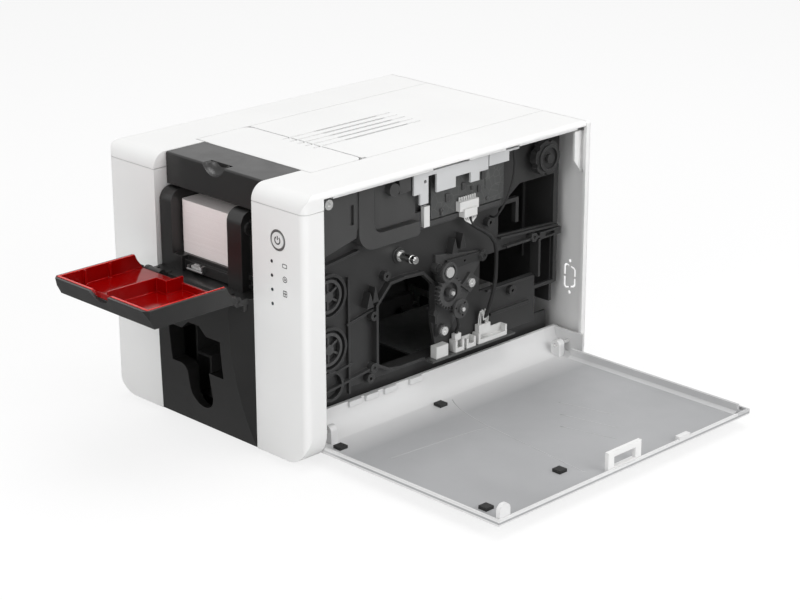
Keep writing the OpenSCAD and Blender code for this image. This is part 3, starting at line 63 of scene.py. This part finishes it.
# ---------------------------------------------------------------- materials
class Nodes:
    """Short names for the shader nodes that the materials share."""

    def __init__(self, name):
        self.mat = bpy.data.materials.new(name)
        self.mat.use_nodes = True
        self.tree = self.mat.node_tree
        self.skin = self.tree.nodes["Principled BSDF"]
        self.place = self.add("ShaderNodeTexCoord").outputs["Object"]

    def add(self, kind, **values):
        n = self.tree.nodes.new(kind)
        for key, value in values.items():
            setattr(n, key, value)
        return n

    def join(self, a, b):
        self.tree.links.new(a, b)

    def noise(self, scale, detail=3.0, rough=0.5, stretch=None):
        n = self.add("ShaderNodeTexNoise")
        n.inputs["Scale"].default_value = scale
        n.inputs["Detail"].default_value = detail
        n.inputs["Roughness"].default_value = rough
        if stretch:
            m = self.add("ShaderNodeMapping")
            m.inputs["Scale"].default_value = stretch
            self.join(self.place, m.inputs["Vector"])
            self.join(m.outputs["Vector"], n.inputs["Vector"])
        else:
            self.join(self.place, n.inputs["Vector"])
        return n.outputs["Fac"]

    def span(self, value, low, high, a, b):
        n = self.add("ShaderNodeMapRange")
        for key, v in (("From Min", low), ("From Max", high), ("To Min", a), ("To Max", b)):
            n.inputs[key].default_value = v
        self.join(value, n.inputs["Value"])
        return n.outputs["Result"]

    def combine(self, operation, a, b):
        n = self.add("ShaderNodeMath", operation=operation)
        self.join(a, n.inputs[0])
        self.join(b, n.inputs[1])
        return n.outputs[0]

    def blend(self, fac, a, b):
        n = self.add("ShaderNodeMix", data_type="RGBA")
        self.join(fac, n.inputs["Factor"])
        for socket, v in ((n.inputs[6], a), (n.inputs[7], b)):
            if isinstance(v, tuple):
                socket.default_value = (*v, 1)
            else:
                self.join(v, socket)
        return n.outputs[2]

    def edge_wear_and_highlight(self, colour, pale, amount, edge):
        """Colour, turning to pale along the edges: rubbed by use on the moulded parts, a painted highlight on
        the clear red. There the softened normal leaves the true one."""
        self.soft = self.add("ShaderNodeBevel", samples=4)
        self.soft.inputs["Radius"].default_value = edge
        flat = self.add("ShaderNodeNewGeometry").outputs["True Normal"]
        dot = self.add("ShaderNodeVectorMath", operation="DOT_PRODUCT")
        self.join(self.soft.outputs["Normal"], dot.inputs[0])
        self.join(flat, dot.inputs[1])
        on_edge = self.span(dot.outputs["Value"], 0.99, 0.86, 0, 1)
        patchy = self.span(self.noise(90, 3), 0.35, 0.62, 0, amount)
        return self.blend(self.combine("MULTIPLY", on_edge, patchy), colour, pale)

    def relief(self, height, strength, distance, edge):
        """Bump over an edge softened by the bevel node."""
        soft = getattr(self, "soft", None) or self.add("ShaderNodeBevel", samples=4)
        soft.inputs["Radius"].default_value = edge
        bump = self.add("ShaderNodeBump")
        bump.inputs["Strength"].default_value = strength
        bump.inputs["Distance"].default_value = distance
        self.join(height, bump.inputs["Height"])
        self.join(soft.outputs["Normal"], bump.inputs["Normal"])
        self.join(bump.outputs["Normal"], self.skin.inputs["Normal"])

    def set(self, **values):
        for key, value in values.items():
            self.skin.inputs[key.replace("_", " ")].default_value = value


def moulded(name, colour, rough, grain=2600, depth=0.12, vary=0.05, edge=0.0005, coat=0.0, worn=0.0):
    """Moulded plastic: a fine grain in bump, slow drift in colour and roughness."""
    m = Nodes(name)
    slow = m.noise(14, 2)
    fine = m.noise(grain, 2, 0.6)
    dark = tuple(c * (1 - vary) for c in colour)
    light = tuple(min(1.0, c * (1 + vary)) for c in colour)
    body = m.blend(m.span(slow, 0.35, 0.65, 0, 1), dark, light)
    if worn:
        pale = tuple(min(1.0, c + worn) for c in colour)
        body = m.edge_wear_and_highlight(body, pale, 0.8, edge)
    m.join(body, m.skin.inputs["Base Color"])
    m.join(m.span(m.noise(60, 4), 0.3, 0.7, rough * 0.88, min(1.0, rough * 1.12)), m.skin.inputs["Roughness"])
    m.relief(fine, depth, 0.0002, edge)
    m.set(Coat_Weight=coat, Coat_Roughness=0.25)
    return m.mat


def metal(name, colour, rough, stretch=(1, 60, 60), solid=1.0):
    """Turned or drawn metal: fine streaks in roughness and bump. A pale plating is not all mirror."""
    m = Nodes(name)
    streak = m.noise(220, 3, 0.6, stretch)
    m.join(m.blend(streak, tuple(c * 0.85 for c in colour), colour), m.skin.inputs["Base Color"])
    m.join(m.span(streak, 0.3, 0.7, rough * 0.8, rough * 1.3), m.skin.inputs["Roughness"])
    m.relief(streak, 0.08, 0.0001, 0.0003)
    m.set(Metallic=solid)
    return m.mat


def door_skin():
    """White rim and curl, with the plain grey inner face between them; the rear rail carries painted shade,
    tinted halfway to the grey. The bounds are places in metres.
    """
    face_top, rim_foot = (0.0100, 0.0104), (0.0114, 0.0117)
    curl_fade, rail_shade_edge = (0.092, 0.120), (0.1208, 0.1212)
    m = Nodes("door_plastic")
    xyz = m.add("ShaderNodeSeparateXYZ")
    m.join(m.place, xyz.inputs[0])
    low = m.span(xyz.outputs["Z"], *rim_foot, 1, 0)
    above_skin = m.span(xyz.outputs["Z"], *face_top, 0, 1)
    away = m.span(xyz.outputs["X"], *curl_fade, 0.15, 1)
    # Painted shade: the rear rail is tinted halfway to the inner grey, for the shade on its inward wall.
    rail_shade = m.span(xyz.outputs["Y"], *rail_shade_edge, 0, 0.55)
    level = m.combine("MULTIPLY", m.combine("MAXIMUM", low, rail_shade), above_skin)
    field = m.combine("MULTIPLY", level, away)
    cloud = m.span(m.noise(7, 3), 0.35, 0.65, 0, 1)
    inner = m.blend(cloud, (0.335, 0.338, 0.345), (0.375, 0.378, 0.386))
    outer = m.blend(cloud, (0.70, 0.70, 0.70), (0.74, 0.74, 0.74))
    m.join(m.blend(field, outer, inner), m.skin.inputs["Base Color"])
    m.join(m.span(m.noise(60, 4), 0.3, 0.7, 0.42, 0.56), m.skin.inputs["Roughness"])
    m.relief(m.noise(2400, 2, 0.6), 0.12, 0.0002, 0.0006)
    return m.mat


def red_clear():
    """Clear red plastic, with a painted highlight along its edges and on its top rim."""
    m = Nodes("red_clear")
    slow = m.noise(40, 2)
    xyz = m.add("ShaderNodeSeparateXYZ")
    m.join(m.place, xyz.inputs[0])
    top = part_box("tray_liner")[1][2]
    # Painted highlight: a bright red band on the top rim, where the rim would catch the light.
    rim = m.span(xyz.outputs["Z"], top - 0.0005, top - 0.0001, 0, 1)
    # Painted highlight: pale red along the edges, strong enough to cover most of the patches.
    body = m.edge_wear_and_highlight(m.blend(slow, (0.27, 0.0, 0.0), (0.40, 0.001, 0.001)), (0.90, 0.01, 0.01), 2.5, 0.0007)
    m.join(m.blend(rim, body, (0.95, 0.035, 0.025)), m.skin.inputs["Base Color"])
    m.join(m.span(m.noise(90, 3), 0.3, 0.7, 0.10, 0.18), m.skin.inputs["Roughness"])
    m.relief(m.noise(900, 2), 0.04, 0.0002, 0.0007)
    m.set(Transmission_Weight=0.30, IOR=1.40, Coat_Weight=0.12, Coat_Roughness=0.08)
    return m.mat


def board():
    """Lacquered board with tracks: thin lines along the borders of random cells, under a clear coat."""
    m = Nodes("board_lacquer")
    cell = m.add("ShaderNodeTexVoronoi", feature="DISTANCE_TO_EDGE")
    cell.inputs["Scale"].default_value = 160
    m.join(m.place, cell.inputs["Vector"])
    track = m.span(cell.outputs["Distance"], 0.0, 0.05, 1, 0)
    m.join(m.blend(track, (0.068, 0.070, 0.069), (0.100, 0.102, 0.099)), m.skin.inputs["Base Color"])
    m.join(m.span(m.noise(120, 3), 0.3, 0.7, 0.30, 0.45), m.skin.inputs["Roughness"])
    m.relief(track, 0.15, 0.0001, 0.0003)
    m.set(Coat_Weight=0.3, Coat_Roughness=0.2)
    return m.mat


WHITE = moulded("white_shell", (0.795, 0.795, 0.79), 0.40, 2200, 0.08, 0.012, 0.0006)
HOOD = moulded("black_front", (0.0105, 0.0103, 0.010), 0.38, 2600, 0.20, 0.12, 0.0006, 0.3, 0.05)
FRAME = moulded("dark_frame", (0.032, 0.032, 0.032), 0.38, 1900, 0.16, 0.14, 0.0004, worn=0.09)
# Painted light: a lighter copy of the dark frame plastic for the upper housing and gear plate, setting them
# brighter than the plates.
HOUSE_LIT = moulded("housing_plastic_lit", (0.058, 0.058, 0.058), 0.40, 1900, 0.16, 0.12, 0.0004, worn=0.07)
GEAR = moulded("gear_plastic", (0.062, 0.062, 0.062), 0.34, 1900, 0.10, 0.10, 0.0003, worn=0.06)
RUBBER = moulded("soft_rubber", (0.012, 0.012, 0.012), 0.72, 1500, 0.25, 0.15, 0.0005)
LEAD = moulded("lead_sheath", (0.014, 0.014, 0.014), 0.5, 1600, 0.2, 0.15, 0.0002)
CARD = moulded("card_face", (0.93, 0.87, 0.86), 0.32, 900, 0.05, 0.02, 0.0002)
PALE = moulded("pale_plastic", (0.70, 0.70, 0.69), 0.42, 1800, 0.12, 0.04, 0.0003)
BRACKET = moulded("bracket_plastic", (0.58, 0.585, 0.59), 0.42, 1800, 0.12, 0.05, 0.0004)
BUTTON = moulded("button_plastic", (0.74, 0.74, 0.735), 0.30, 2400, 0.06, 0.02, 0.0004)
RING = moulded("grey_ring", (0.12, 0.12, 0.12), 0.35, 2400, 0.06, 0.05, 0.0002)
MARK = moulded("printed_mark", (0.05, 0.05, 0.053), 0.5, 1800, 0.05, 0.05, 0.0001)
LAMP = moulded("lamp_lens", (0.035, 0.045, 0.05), 0.15, 900, 0.03, 0.1, 0.0003, 0.5)
# Mid grey for the lips in the column cap seams: painted shade of the seam, lighter than the gap's own shadow.
LIP_SHADE = moulded("cap_lip", (0.52, 0.52, 0.52), 0.45, 2200, 0.08, 0.02, 0.0003)
LINE = moulded("door_line", (0.45, 0.453, 0.46), 0.45, 2200, 0.08, 0.02, 0.0003)
CHROME = metal("bright_metal", (0.88, 0.88, 0.87), 0.16, solid=0.6)
POLISH = metal("polished_shaft", (0.90, 0.90, 0.89), 0.13)
STEEL = metal("spring_steel", (0.42, 0.42, 0.42), 0.32)
CAST = metal("head_metal", (0.45, 0.45, 0.46), 0.42)
DOOR, RED, BOARD = door_skin(), red_clear(), board()

finishes = {
    WHITE: "left_cover left_column control_column top_strip_left top_strip_right top_centre_panel "
           "rear_cover lid_panel latch_loop",
    DOOR: "door_panel",
    HOOD: "front_panel feeder_frame lid_hood tray_shell tray_pins",
    HOUSE_LIT: "upper_housing gear_plate",
    FRAME: "side_plate_right side_plate_left cross_wall tension_arm base_pan output_bin flange_brackets "
           "inlet_socket rear_knob",
    GEAR: "main_gear drive_pulley idler_gear wheel_upper wheel_lower",
    RUBBER: "rubber_feet door_pads platen_roller feed_roller",
    LEAD: "harness_long harness_short harness_thin",
    PALE: "board_connectors",
    BRACKET: "housing_brackets",
    BUTTON: "power_button",
    RING: "button_ring",
    LAMP: "indicator_lamps",
    POLISH: "platen_shaft",
    CHROME: "gear_shafts bay_screws lid_pins door_pins data_sockets sill_clip",
    STEEL: "spring_wire",
    CAST: "print_head",
    BOARD: "upper_board main_board",
    RED: "tray_liner",
}
for material, names in finishes.items():
    for name in names.split():
        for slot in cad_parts[name].material_slots:
            slot.material = material


# ---------------------------------------------------------------- surfaces
def in_mm(box):
    """Low and high corner of a box, in millimetres."""
    return (np.array(corner) * 1000 for corner in box)


def piece(name, points, faces, material, body, smooth=True):
    """Mesh of points in millimetres that rides on a body."""
    mesh = bpy.data.meshes.new(name)
    mesh.from_pydata(np.asarray(points, float) / 1000, [], faces)
    mesh.update()
    mesh.polygons.foreach_set("use_smooth", np.full(len(mesh.polygons), smooth))
    obj = bpy.data.objects.new(name, mesh)
    bpy.context.collection.objects.link(obj)
    mesh.materials.append(material)
    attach(obj, body)
    return obj


def grid_faces(rows, cols, wrap):
    """Quads between neighbouring rings of a grid, whose columns close when wrap is true."""
    i = np.arange(rows - 1)[:, None] * cols
    j = np.arange(cols if wrap else cols - 1)[None, :]
    k = (j + 1) % cols
    return np.stack([i + j, i + k, i + cols + k, i + cols + j], -1).reshape(-1, 4)


def rounded_blocks(centres, halves, radius, n=3):
    """Blocks with rounded edges: a point is its octant's corner of the inner box plus radius times
    the unit direction, where the directions run round the equator and from pole to pole."""
    q = np.linspace(0, math.pi / 2, n)
    u = np.concatenate([q + k * math.pi / 2 for k in range(4)])
    su = np.repeat([[1, 1], [-1, 1], [-1, -1], [1, -1]], n, 0)
    v = np.concatenate([q - math.pi / 2, q])
    sv = np.repeat([-1, 1], n)
    d = np.stack([np.cos(v)[:, None] * np.cos(u), np.cos(v)[:, None] * np.sin(u),
                  np.sin(v)[:, None] + 0 * u], -1)
    s = np.stack(np.broadcast_arrays(su[:, 0][None, :], su[:, 1][None, :], sv[:, None]), -1)
    rows, cols = d.shape[:2]
    quads = grid_faces(rows, cols, True)
    base = np.arange(cols)
    all_points, all_faces = [], []
    for k, (c, h) in enumerate(zip(np.asarray(centres, float), np.asarray(halves, float))):
        all_points.append((c + s * (h - radius) + d * radius).reshape(-1, 3))
        shift = k * rows * cols
        all_faces += (quads + shift).tolist()
        all_faces.append((base[::-1] + shift).tolist())
        all_faces.append((base + shift + (rows - 1) * cols).tolist())
    return np.concatenate(all_points), all_faces


def swept(path, radius, sides=10, flat=1.0, seed_dir=(0.3, 0.2, 1.0)):
    """Round bar along a path: rings of radius about each point, square to the path there."""
    p = np.asarray(path, float)
    t = np.gradient(p, axis=0)
    t /= np.linalg.norm(t, axis=1)[:, None]
    a = np.cross(t, np.asarray(seed_dir, float))
    a /= np.linalg.norm(a, axis=1)[:, None]
    b = np.cross(t, a)
    w = np.linspace(0, 2 * math.pi, sides, endpoint=False)
    wide = np.cos(w)[None, :, None] * a[:, None]
    deep = flat * np.sin(w)[None, :, None] * b[:, None]
    ring = p[:, None] + radius * (wide + deep)
    faces = grid_faces(len(p), sides, True).tolist()
    faces.append(list(range(sides))[::-1])
    faces.append(list(range((len(p) - 1) * sides, len(p) * sides)))
    return ring.reshape(-1, 3), faces


def together(parts):
    """One mesh from several, with each one's face numbers moved on."""
    points, faces, shift = [], [], 0
    for p, f in parts:
        points.append(p)
        faces += [[i + shift for i in q] for q in f]
        shift += len(p)
    return np.concatenate(points), faces


def smooth_path(points, n):
    """Catmull-Rom curve through the points, n steps to each span."""
    p = np.asarray(points, float)
    p = np.concatenate([[2 * p[0] - p[1]], p, [2 * p[-1] - p[-2]]])
    t = np.linspace(0, 1, n, endpoint=False)[:, None, None]
    a, b, c, d = p[:-3][None], p[1:-2][None], p[2:-1][None], p[3:][None]
    q = 0.5 * (2 * b + (c - a) * t + (2 * a - 5 * b + 4 * c - d) * t ** 2 + (3 * b - a - 3 * c + d) * t ** 3)
    return np.concatenate([q.transpose(1, 0, 2).reshape(-1, 3), p[-2][None]])


def skin_of(top, drop):
    """Closed thin skin: a grid of points, the same grid moved by drop, and the strip round their edges."""
    rows, cols = top.shape[:2]
    n = rows * cols
    quads = grid_faces(rows, cols, False)
    k = np.arange(n).reshape(rows, cols)
    rim = np.concatenate([k[0, :-1], k[:-1, -1], k[-1, :0:-1], k[:0:-1, 0]])
    ahead = np.roll(rim, -1)
    side = np.stack([rim, rim + n, ahead + n, ahead], -1)
    points = np.concatenate([top.reshape(-1, 3), (top + drop).reshape(-1, 3)])
    return points, np.concatenate([quads, (quads + n)[:, ::-1], side]).tolist()


# ---------------------------------------------------------------- blank cards
def card_stack():
    """Cards 0.76 mm thick, each a rounded outline of 3.18 mm corners pushed through its thickness,
    and each shifted a little from its neighbours."""
    card_t, corner, steps = 0.76, 3.18, 6
    inset, shift = 0.25, 0.05
    bevel, gap, shrink = 0.05, 0.005, 0.001
    lo, hi = in_mm(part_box("card_stack"))
    n = int(round((hi[2] - lo[2]) / card_t))
    thick = (hi[2] - lo[2]) / n
    q = np.linspace(0, math.pi / 2, steps)
    w = np.concatenate([q + k * math.pi / 2 for k in range(4)])
    sides = len(w)
    sx = np.repeat([1, -1, -1, 1], steps)
    sy = np.repeat([1, 1, -1, -1], steps)
    half = (hi - lo)[:2] / 2 - inset
    x = sx * (half[0] - corner) + corner * np.cos(w)
    y = sy * (half[1] - corner) + corner * np.sin(w)
    parts = []
    for k in range(n):
        c = (lo + hi)[:2] / 2 + rng.uniform(-shift, shift, 2)
        z0, z1 = lo[2] + k * thick, lo[2] + (k + 1) * thick
        levels = ((z0 + gap, 1 - shrink), (z0 + bevel, 1), (z1 - bevel, 1), (z1 - gap, 1 - shrink))
        rings = [np.stack([c[0] + x * s, c[1] + y * s, np.full(sides, z)], 1) for z, s in levels]
        faces = grid_faces(4, sides, True).tolist()
        faces += [list(range(sides))[::-1], list(range(3 * sides, 4 * sides))]
        parts.append((np.concatenate(rings), faces))
    cards = piece("blank_cards", *together(parts), CARD, "housing", False)
    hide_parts("card_stack")


card_stack()


# ---------------------------------------------------------------- controls
PRINT_RISE = 0.02
FRONTWARD = (0, 1, 0)


def power_mark():
    """Broken ring and a bar: flat bars swept round an arc and along a line on the button's face."""
    ring_r, line_r, flat = 2.5, 0.5, 0.18
    arc_n, bar_n = 40, 6
    lo, hi = in_mm(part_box("power_button"))
    c = (lo + hi) / 2
    y = lo[1] - PRINT_RISE
    w = np.radians(np.linspace(125, 415, arc_n))
    arc = np.stack([c[0] + ring_r * np.cos(w), np.full(arc_n, y), c[2] + ring_r * np.sin(w)], 1)
    bar = np.stack([np.full(bar_n, c[0]), np.full(bar_n, y), np.linspace(c[2] + 0.4, c[2] + 3.1, bar_n)], 1)
    parts = [swept(line, line_r, 8, flat, FRONTWARD) for line in (arc, bar)]
    mark = piece("power_mark", *together(parts), MARK, "button")


def column_icons():
    """Three small plain signs beside the lamps, as flat bars along lines and circles: a card, a ribbon
    roll and a window."""
    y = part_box("control_column")[0][1] * 1000 - PRINT_RISE
    x = 83.1
    card_z, roll_z, window_z = 142.9, 133.6, 123.7
    line_r, flat = 0.28, 0.15
    bars = []

    def bar(z, points):
        p = np.asarray(points, float)
        line = np.stack([x + p[:, 0], np.full(len(p), y), z + p[:, 1]], 1)
        bars.append(swept(line, line_r, 6, flat, FRONTWARD))

    def frame_of(z, half_w, half_h):
        for s in (-1, 1):
            bar(z, [(-half_w, s * half_h), (half_w, s * half_h)])
        for s in (-1, 1):
            bar(z, [(s * half_w, -half_h), (s * half_w, half_h)])

    frame_of(card_z, 2, 1.2)
    w = np.radians(np.linspace(0, 360, 25))
    for r in (1.9, 0.7):
        bar(roll_z, np.stack([r * np.cos(w), r * np.sin(w)], 1))
    half_w, half_h = 1.7, 1.9
    frame_of(window_z, half_w, half_h)
    bar(window_z, [(-half_w, 0), (half_w, 0)])
    bar(window_z, [(0, -half_h), (0, half_h)])
    icons = piece("column_icons", *together(bars), MARK, "housing")


power_mark()
column_icons()


# ---------------------------------------------------------------- housing details
def hood_scoop():
    """Bowl behind the finger notch: arcs whose radius shrinks towards the back, as an ellipse's does,
    and which stop just under the top of the hood."""
    centre_rise, top_gap, wall = 4.6, 0.35, 0.7
    front_r, shrink, half_angle = 12.7, 7.4, 68
    start, depth = 0.5, 8.3
    lo, hi = in_mm(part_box("lid_hood"))
    zc, top = hi[2] + centre_rise, hi[2] - top_gap
    v = np.linspace(0, 1, 15)[:, None]
    a = np.radians(np.linspace(-half_angle, half_angle, 37))[None, :]
    r = front_r - shrink * (1 - np.sqrt(1 - 0.98 * v ** 2))
    x = r * np.sin(a)
    y = lo[1] + start + depth * v + 0 * a
    z = np.minimum(zc - r * np.cos(a), top)
    bowl = piece("hood_scoop", *skin_of(np.stack([x, y, z], -1), np.array([0, 0, -wall])), HOOD, "lid")


def cap_lips():
    """Lip under each column cap, seen in its seam: a round bar 0.9 mm thick along the column's outline. Its
    mid grey is painted shade, standing in for the faint shading line of the seam.
    """
    bar_r, inset, corner_r, seam_z = 0.45, 0.62, 5.0, 181.1
    corner_x, back_from, back_to = 75.0, -132.0, -125.6
    lo, hi = in_mm(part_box("control_column"))
    front_y, side_x = lo[1] + inset, hi[0] - inset
    w = np.radians(np.linspace(-90, 0, 10))
    r = corner_r - inset
    corner = np.stack([hi[0] - corner_r + r * np.cos(w), lo[1] + corner_r + r * np.sin(w)], 1)
    front = [[lo[0] + 0.8, front_y], [corner_x, front_y]]
    back = [[side_x, back_from], [side_x, back_to]]
    outline = np.concatenate([front, corner, back])
    z = np.full(len(outline), seam_z)
    parts = [swept(np.column_stack([s * outline[:, 0], outline[:, 1], z]), bar_r, 10) for s in (1, -1)]
    lips = piece("cap_lips", *together(parts), LIP_SHADE, "housing")


hood_scoop()
cap_lips()


# ---------------------------------------------------------------- mechanism details
def plug_wires():
    """Pale wires: loops that rise from the plug on the main board, and a fan that runs from the plug of the
    upper board into the long lead. Each is a round bar along a smooth curve through four or five points."""
    loop_y, loop_pitch, loop_r = 43.2, 1.9, 0.5
    fan_y, fan_pitch, fan_r, fan_foot = 21.6, 1.8, 0.45, 27.6
    parts = []
    for k in range(6):
        y = loop_y + k * loop_pitch
        lean = (45.5 + k * 0.8) - y
        path = smooth_path([[83.3, y, 53.8], [83.6, y, 59.5], [84.4, y + lean * 0.3, 64.2 + 0.6 * (k % 2)],
                            [85.6, y + lean * 0.8, 62.5], [84.8, 47.5 + 0.3 * (k - 2.5), 57]], 6)
        parts.append(swept(path, loop_r, 8))
    for k in range(7):
        y = fan_y + k * fan_pitch
        near = 0.35 * y + 0.65 * fan_foot
        path = smooth_path([[88.9 + 0.5 * (k % 2), y, 141.8], [89.3, y + 0.2, 139.6],
                            [89.6, near, 137.0], [89.6, 28.6 + 0.1 * (k - 3), 135.2]], 6)
        parts.append(swept(path, fan_r, 8))
    wires = piece("plug_wires", *together(parts), PALE, "housing")


def board_parts():
    """Small rounded parts soldered to the upper board. Each spot is a place along and up the board, a half
    length and a half height."""
    face_x, half_t, edge_r = 84.8, 0.7, 0.25
    spots = [(-2, 172, 3, 5), (8, 158, 2, 3), (15, 172, 4, 3), (40, 158, 1.5, 2.5), (2, 150, 1.5, 1.5),
             (44, 168, 2, 4), (10, 165, 1.2, 1.2), (24, 163, 1.6, 2.6), (33, 160, 1.4, 1.4)]
    centres = [[face_x + 0.5, y, z] for y, z, _, _ in spots]
    halves = [[half_t, a, b] for _, _, a, b in spots]
    chips = piece("board_parts", *rounded_blocks(centres, halves, edge_r), GEAR, "housing")


def door_lines():
    """Shallow moulded lines on the inside of the door, as low round-backed bars on its face."""
    face_z, line_r, flat, upward = 11.32, 0.45, 0.22, (0, 0, 1)
    routes = [[(97, 2), (112, -6), (141, -14), (190, -20), (222, -24), (246, -27)],
              [(140, -104), (146, -40), (150, -16)],
              [(154, 52), (196, 62)], [(170, 36), (214, 46)], [(184, 20), (226, 31)]]
    parts = []
    for route in routes:
        points = [[x, y, face_z] for x, y in route]
        path = smooth_path(points, 8) if len(points) > 2 else np.linspace(*points, 12)
        parts.append(swept(path, line_r, 8, flat, upward))
    lines = piece("door_lines", *together(parts), LINE, "side_door")


plug_wires()
board_parts()
door_lines()


# ---------------------------------------------------------------- stage and light
def seen_by(tree, path, rays):
    """One where the ray is of either kind, nought elsewhere."""
    n = tree.nodes.new("ShaderNodeMath")
    n.operation = "MAXIMUM"
    for socket, ray in zip(n.inputs, rays):
        tree.links.new(path.outputs[ray], socket)
    return n.outputs[0]


def mixed(tree, fac, a, b):
    """Blend of two shaders."""
    n = tree.nodes.new("ShaderNodeMixShader")
    for socket, source in zip(n.inputs, (fac, a, b)):
        tree.links.new(source, socket)
    return n.outputs[0]


def glow(tree, kind, strength):
    """Emission or background shader of the given strength."""
    n = tree.nodes.new(kind)
    n.inputs["Strength"].default_value = strength
    return n.outputs[0]


def stage_white(name, colour, share, in_gloss):
    """White where the camera or clear plastic sees it, quieter in reflections, a plain surface elsewhere."""
    mat = bpy.data.materials.new(name)
    mat.use_nodes = True
    tree = mat.node_tree
    plain = tree.nodes["Principled BSDF"]
    plain.inputs["Base Color"].default_value = (*colour, 1)
    plain.inputs["Roughness"].default_value = 0.9
    path = tree.nodes.new("ShaderNodeLightPath")
    part = tree.nodes.new("ShaderNodeMath")
    part.operation = "MULTIPLY"
    part.inputs[1].default_value = share
    tree.links.new(seen_by(tree, path, ("Is Camera Ray", "Is Transmission Ray")), part.inputs[0])
    body = mixed(tree, part.outputs[0], plain.outputs[0], glow(tree, "ShaderNodeEmission", 1.0))
    dim = glow(tree, "ShaderNodeEmission", in_gloss)
    skin = mixed(tree, path.outputs["Is Glossy Ray"], body, dim)
    tree.links.new(skin, tree.nodes["Material Output"].inputs["Surface"])
    return mat


FLOOR_HALF = 6
floor_mesh = bpy.data.meshes.new("floor")
floor_mesh.from_pydata([(x * FLOOR_HALF, y * FLOOR_HALF, 0) for x, y in ((-1, -1), (1, -1), (1, 1), (-1, 1))],
                       [], [(0, 1, 2, 3)])
floor = bpy.data.objects.new("floor", floor_mesh)
bpy.context.collection.objects.link(floor)
floor_mesh.materials.append(stage_white("floor_white", (0.92, 0.92, 0.92), 0.80, 0.25))


def studio():
    """White behind the part and in its reflections, a softer light on its surfaces."""
    world = bpy.data.worlds.new("studio")
    bpy.context.scene.world = world
    world.use_nodes = True
    tree = world.node_tree
    sky = tree.nodes["Background"]
    sky.inputs["Color"].default_value = (1, 1, 1, 1)
    sky.inputs["Strength"].default_value = 0.43
    path = tree.nodes.new("ShaderNodeLightPath")
    seen = seen_by(tree, path, ("Is Camera Ray", "Is Glossy Ray"))
    both = mixed(tree, seen, sky.outputs[0], glow(tree, "ShaderNodeBackground", 1.0))
    tree.links.new(both, tree.nodes["World Output"].inputs["Surface"])


def lamp(name, place, target, size, power):
    """Round soft lamp at a place, aimed at the target."""
    data = bpy.data.lights.new(name, "AREA")
    data.shape = "DISK"
    data.size = size
    data.energy = power
    obj = bpy.data.objects.new(name, data)
    bpy.context.collection.objects.link(obj)
    aim = (Vector(target) - Vector(place)).to_track_quat("-Z", "Y")
    obj.matrix_world = Matrix.Translation(place) @ aim.to_matrix().to_4x4()


studio()
lamp("top_light", (0.1, 0.3, 1.9), (0.05, 0, 0.1), 1.6, 19.6)
lamp("side_light", (1.7, 0.3, 0.9), (0.05, 0, 0.1), 1.2, 12.8)
lamp("front_light", (0.55, -1.95, 0.95), (0, 0, 0.1), 1.3, 15)

bpy.context.scene.view_settings.view_transform = "Standard"
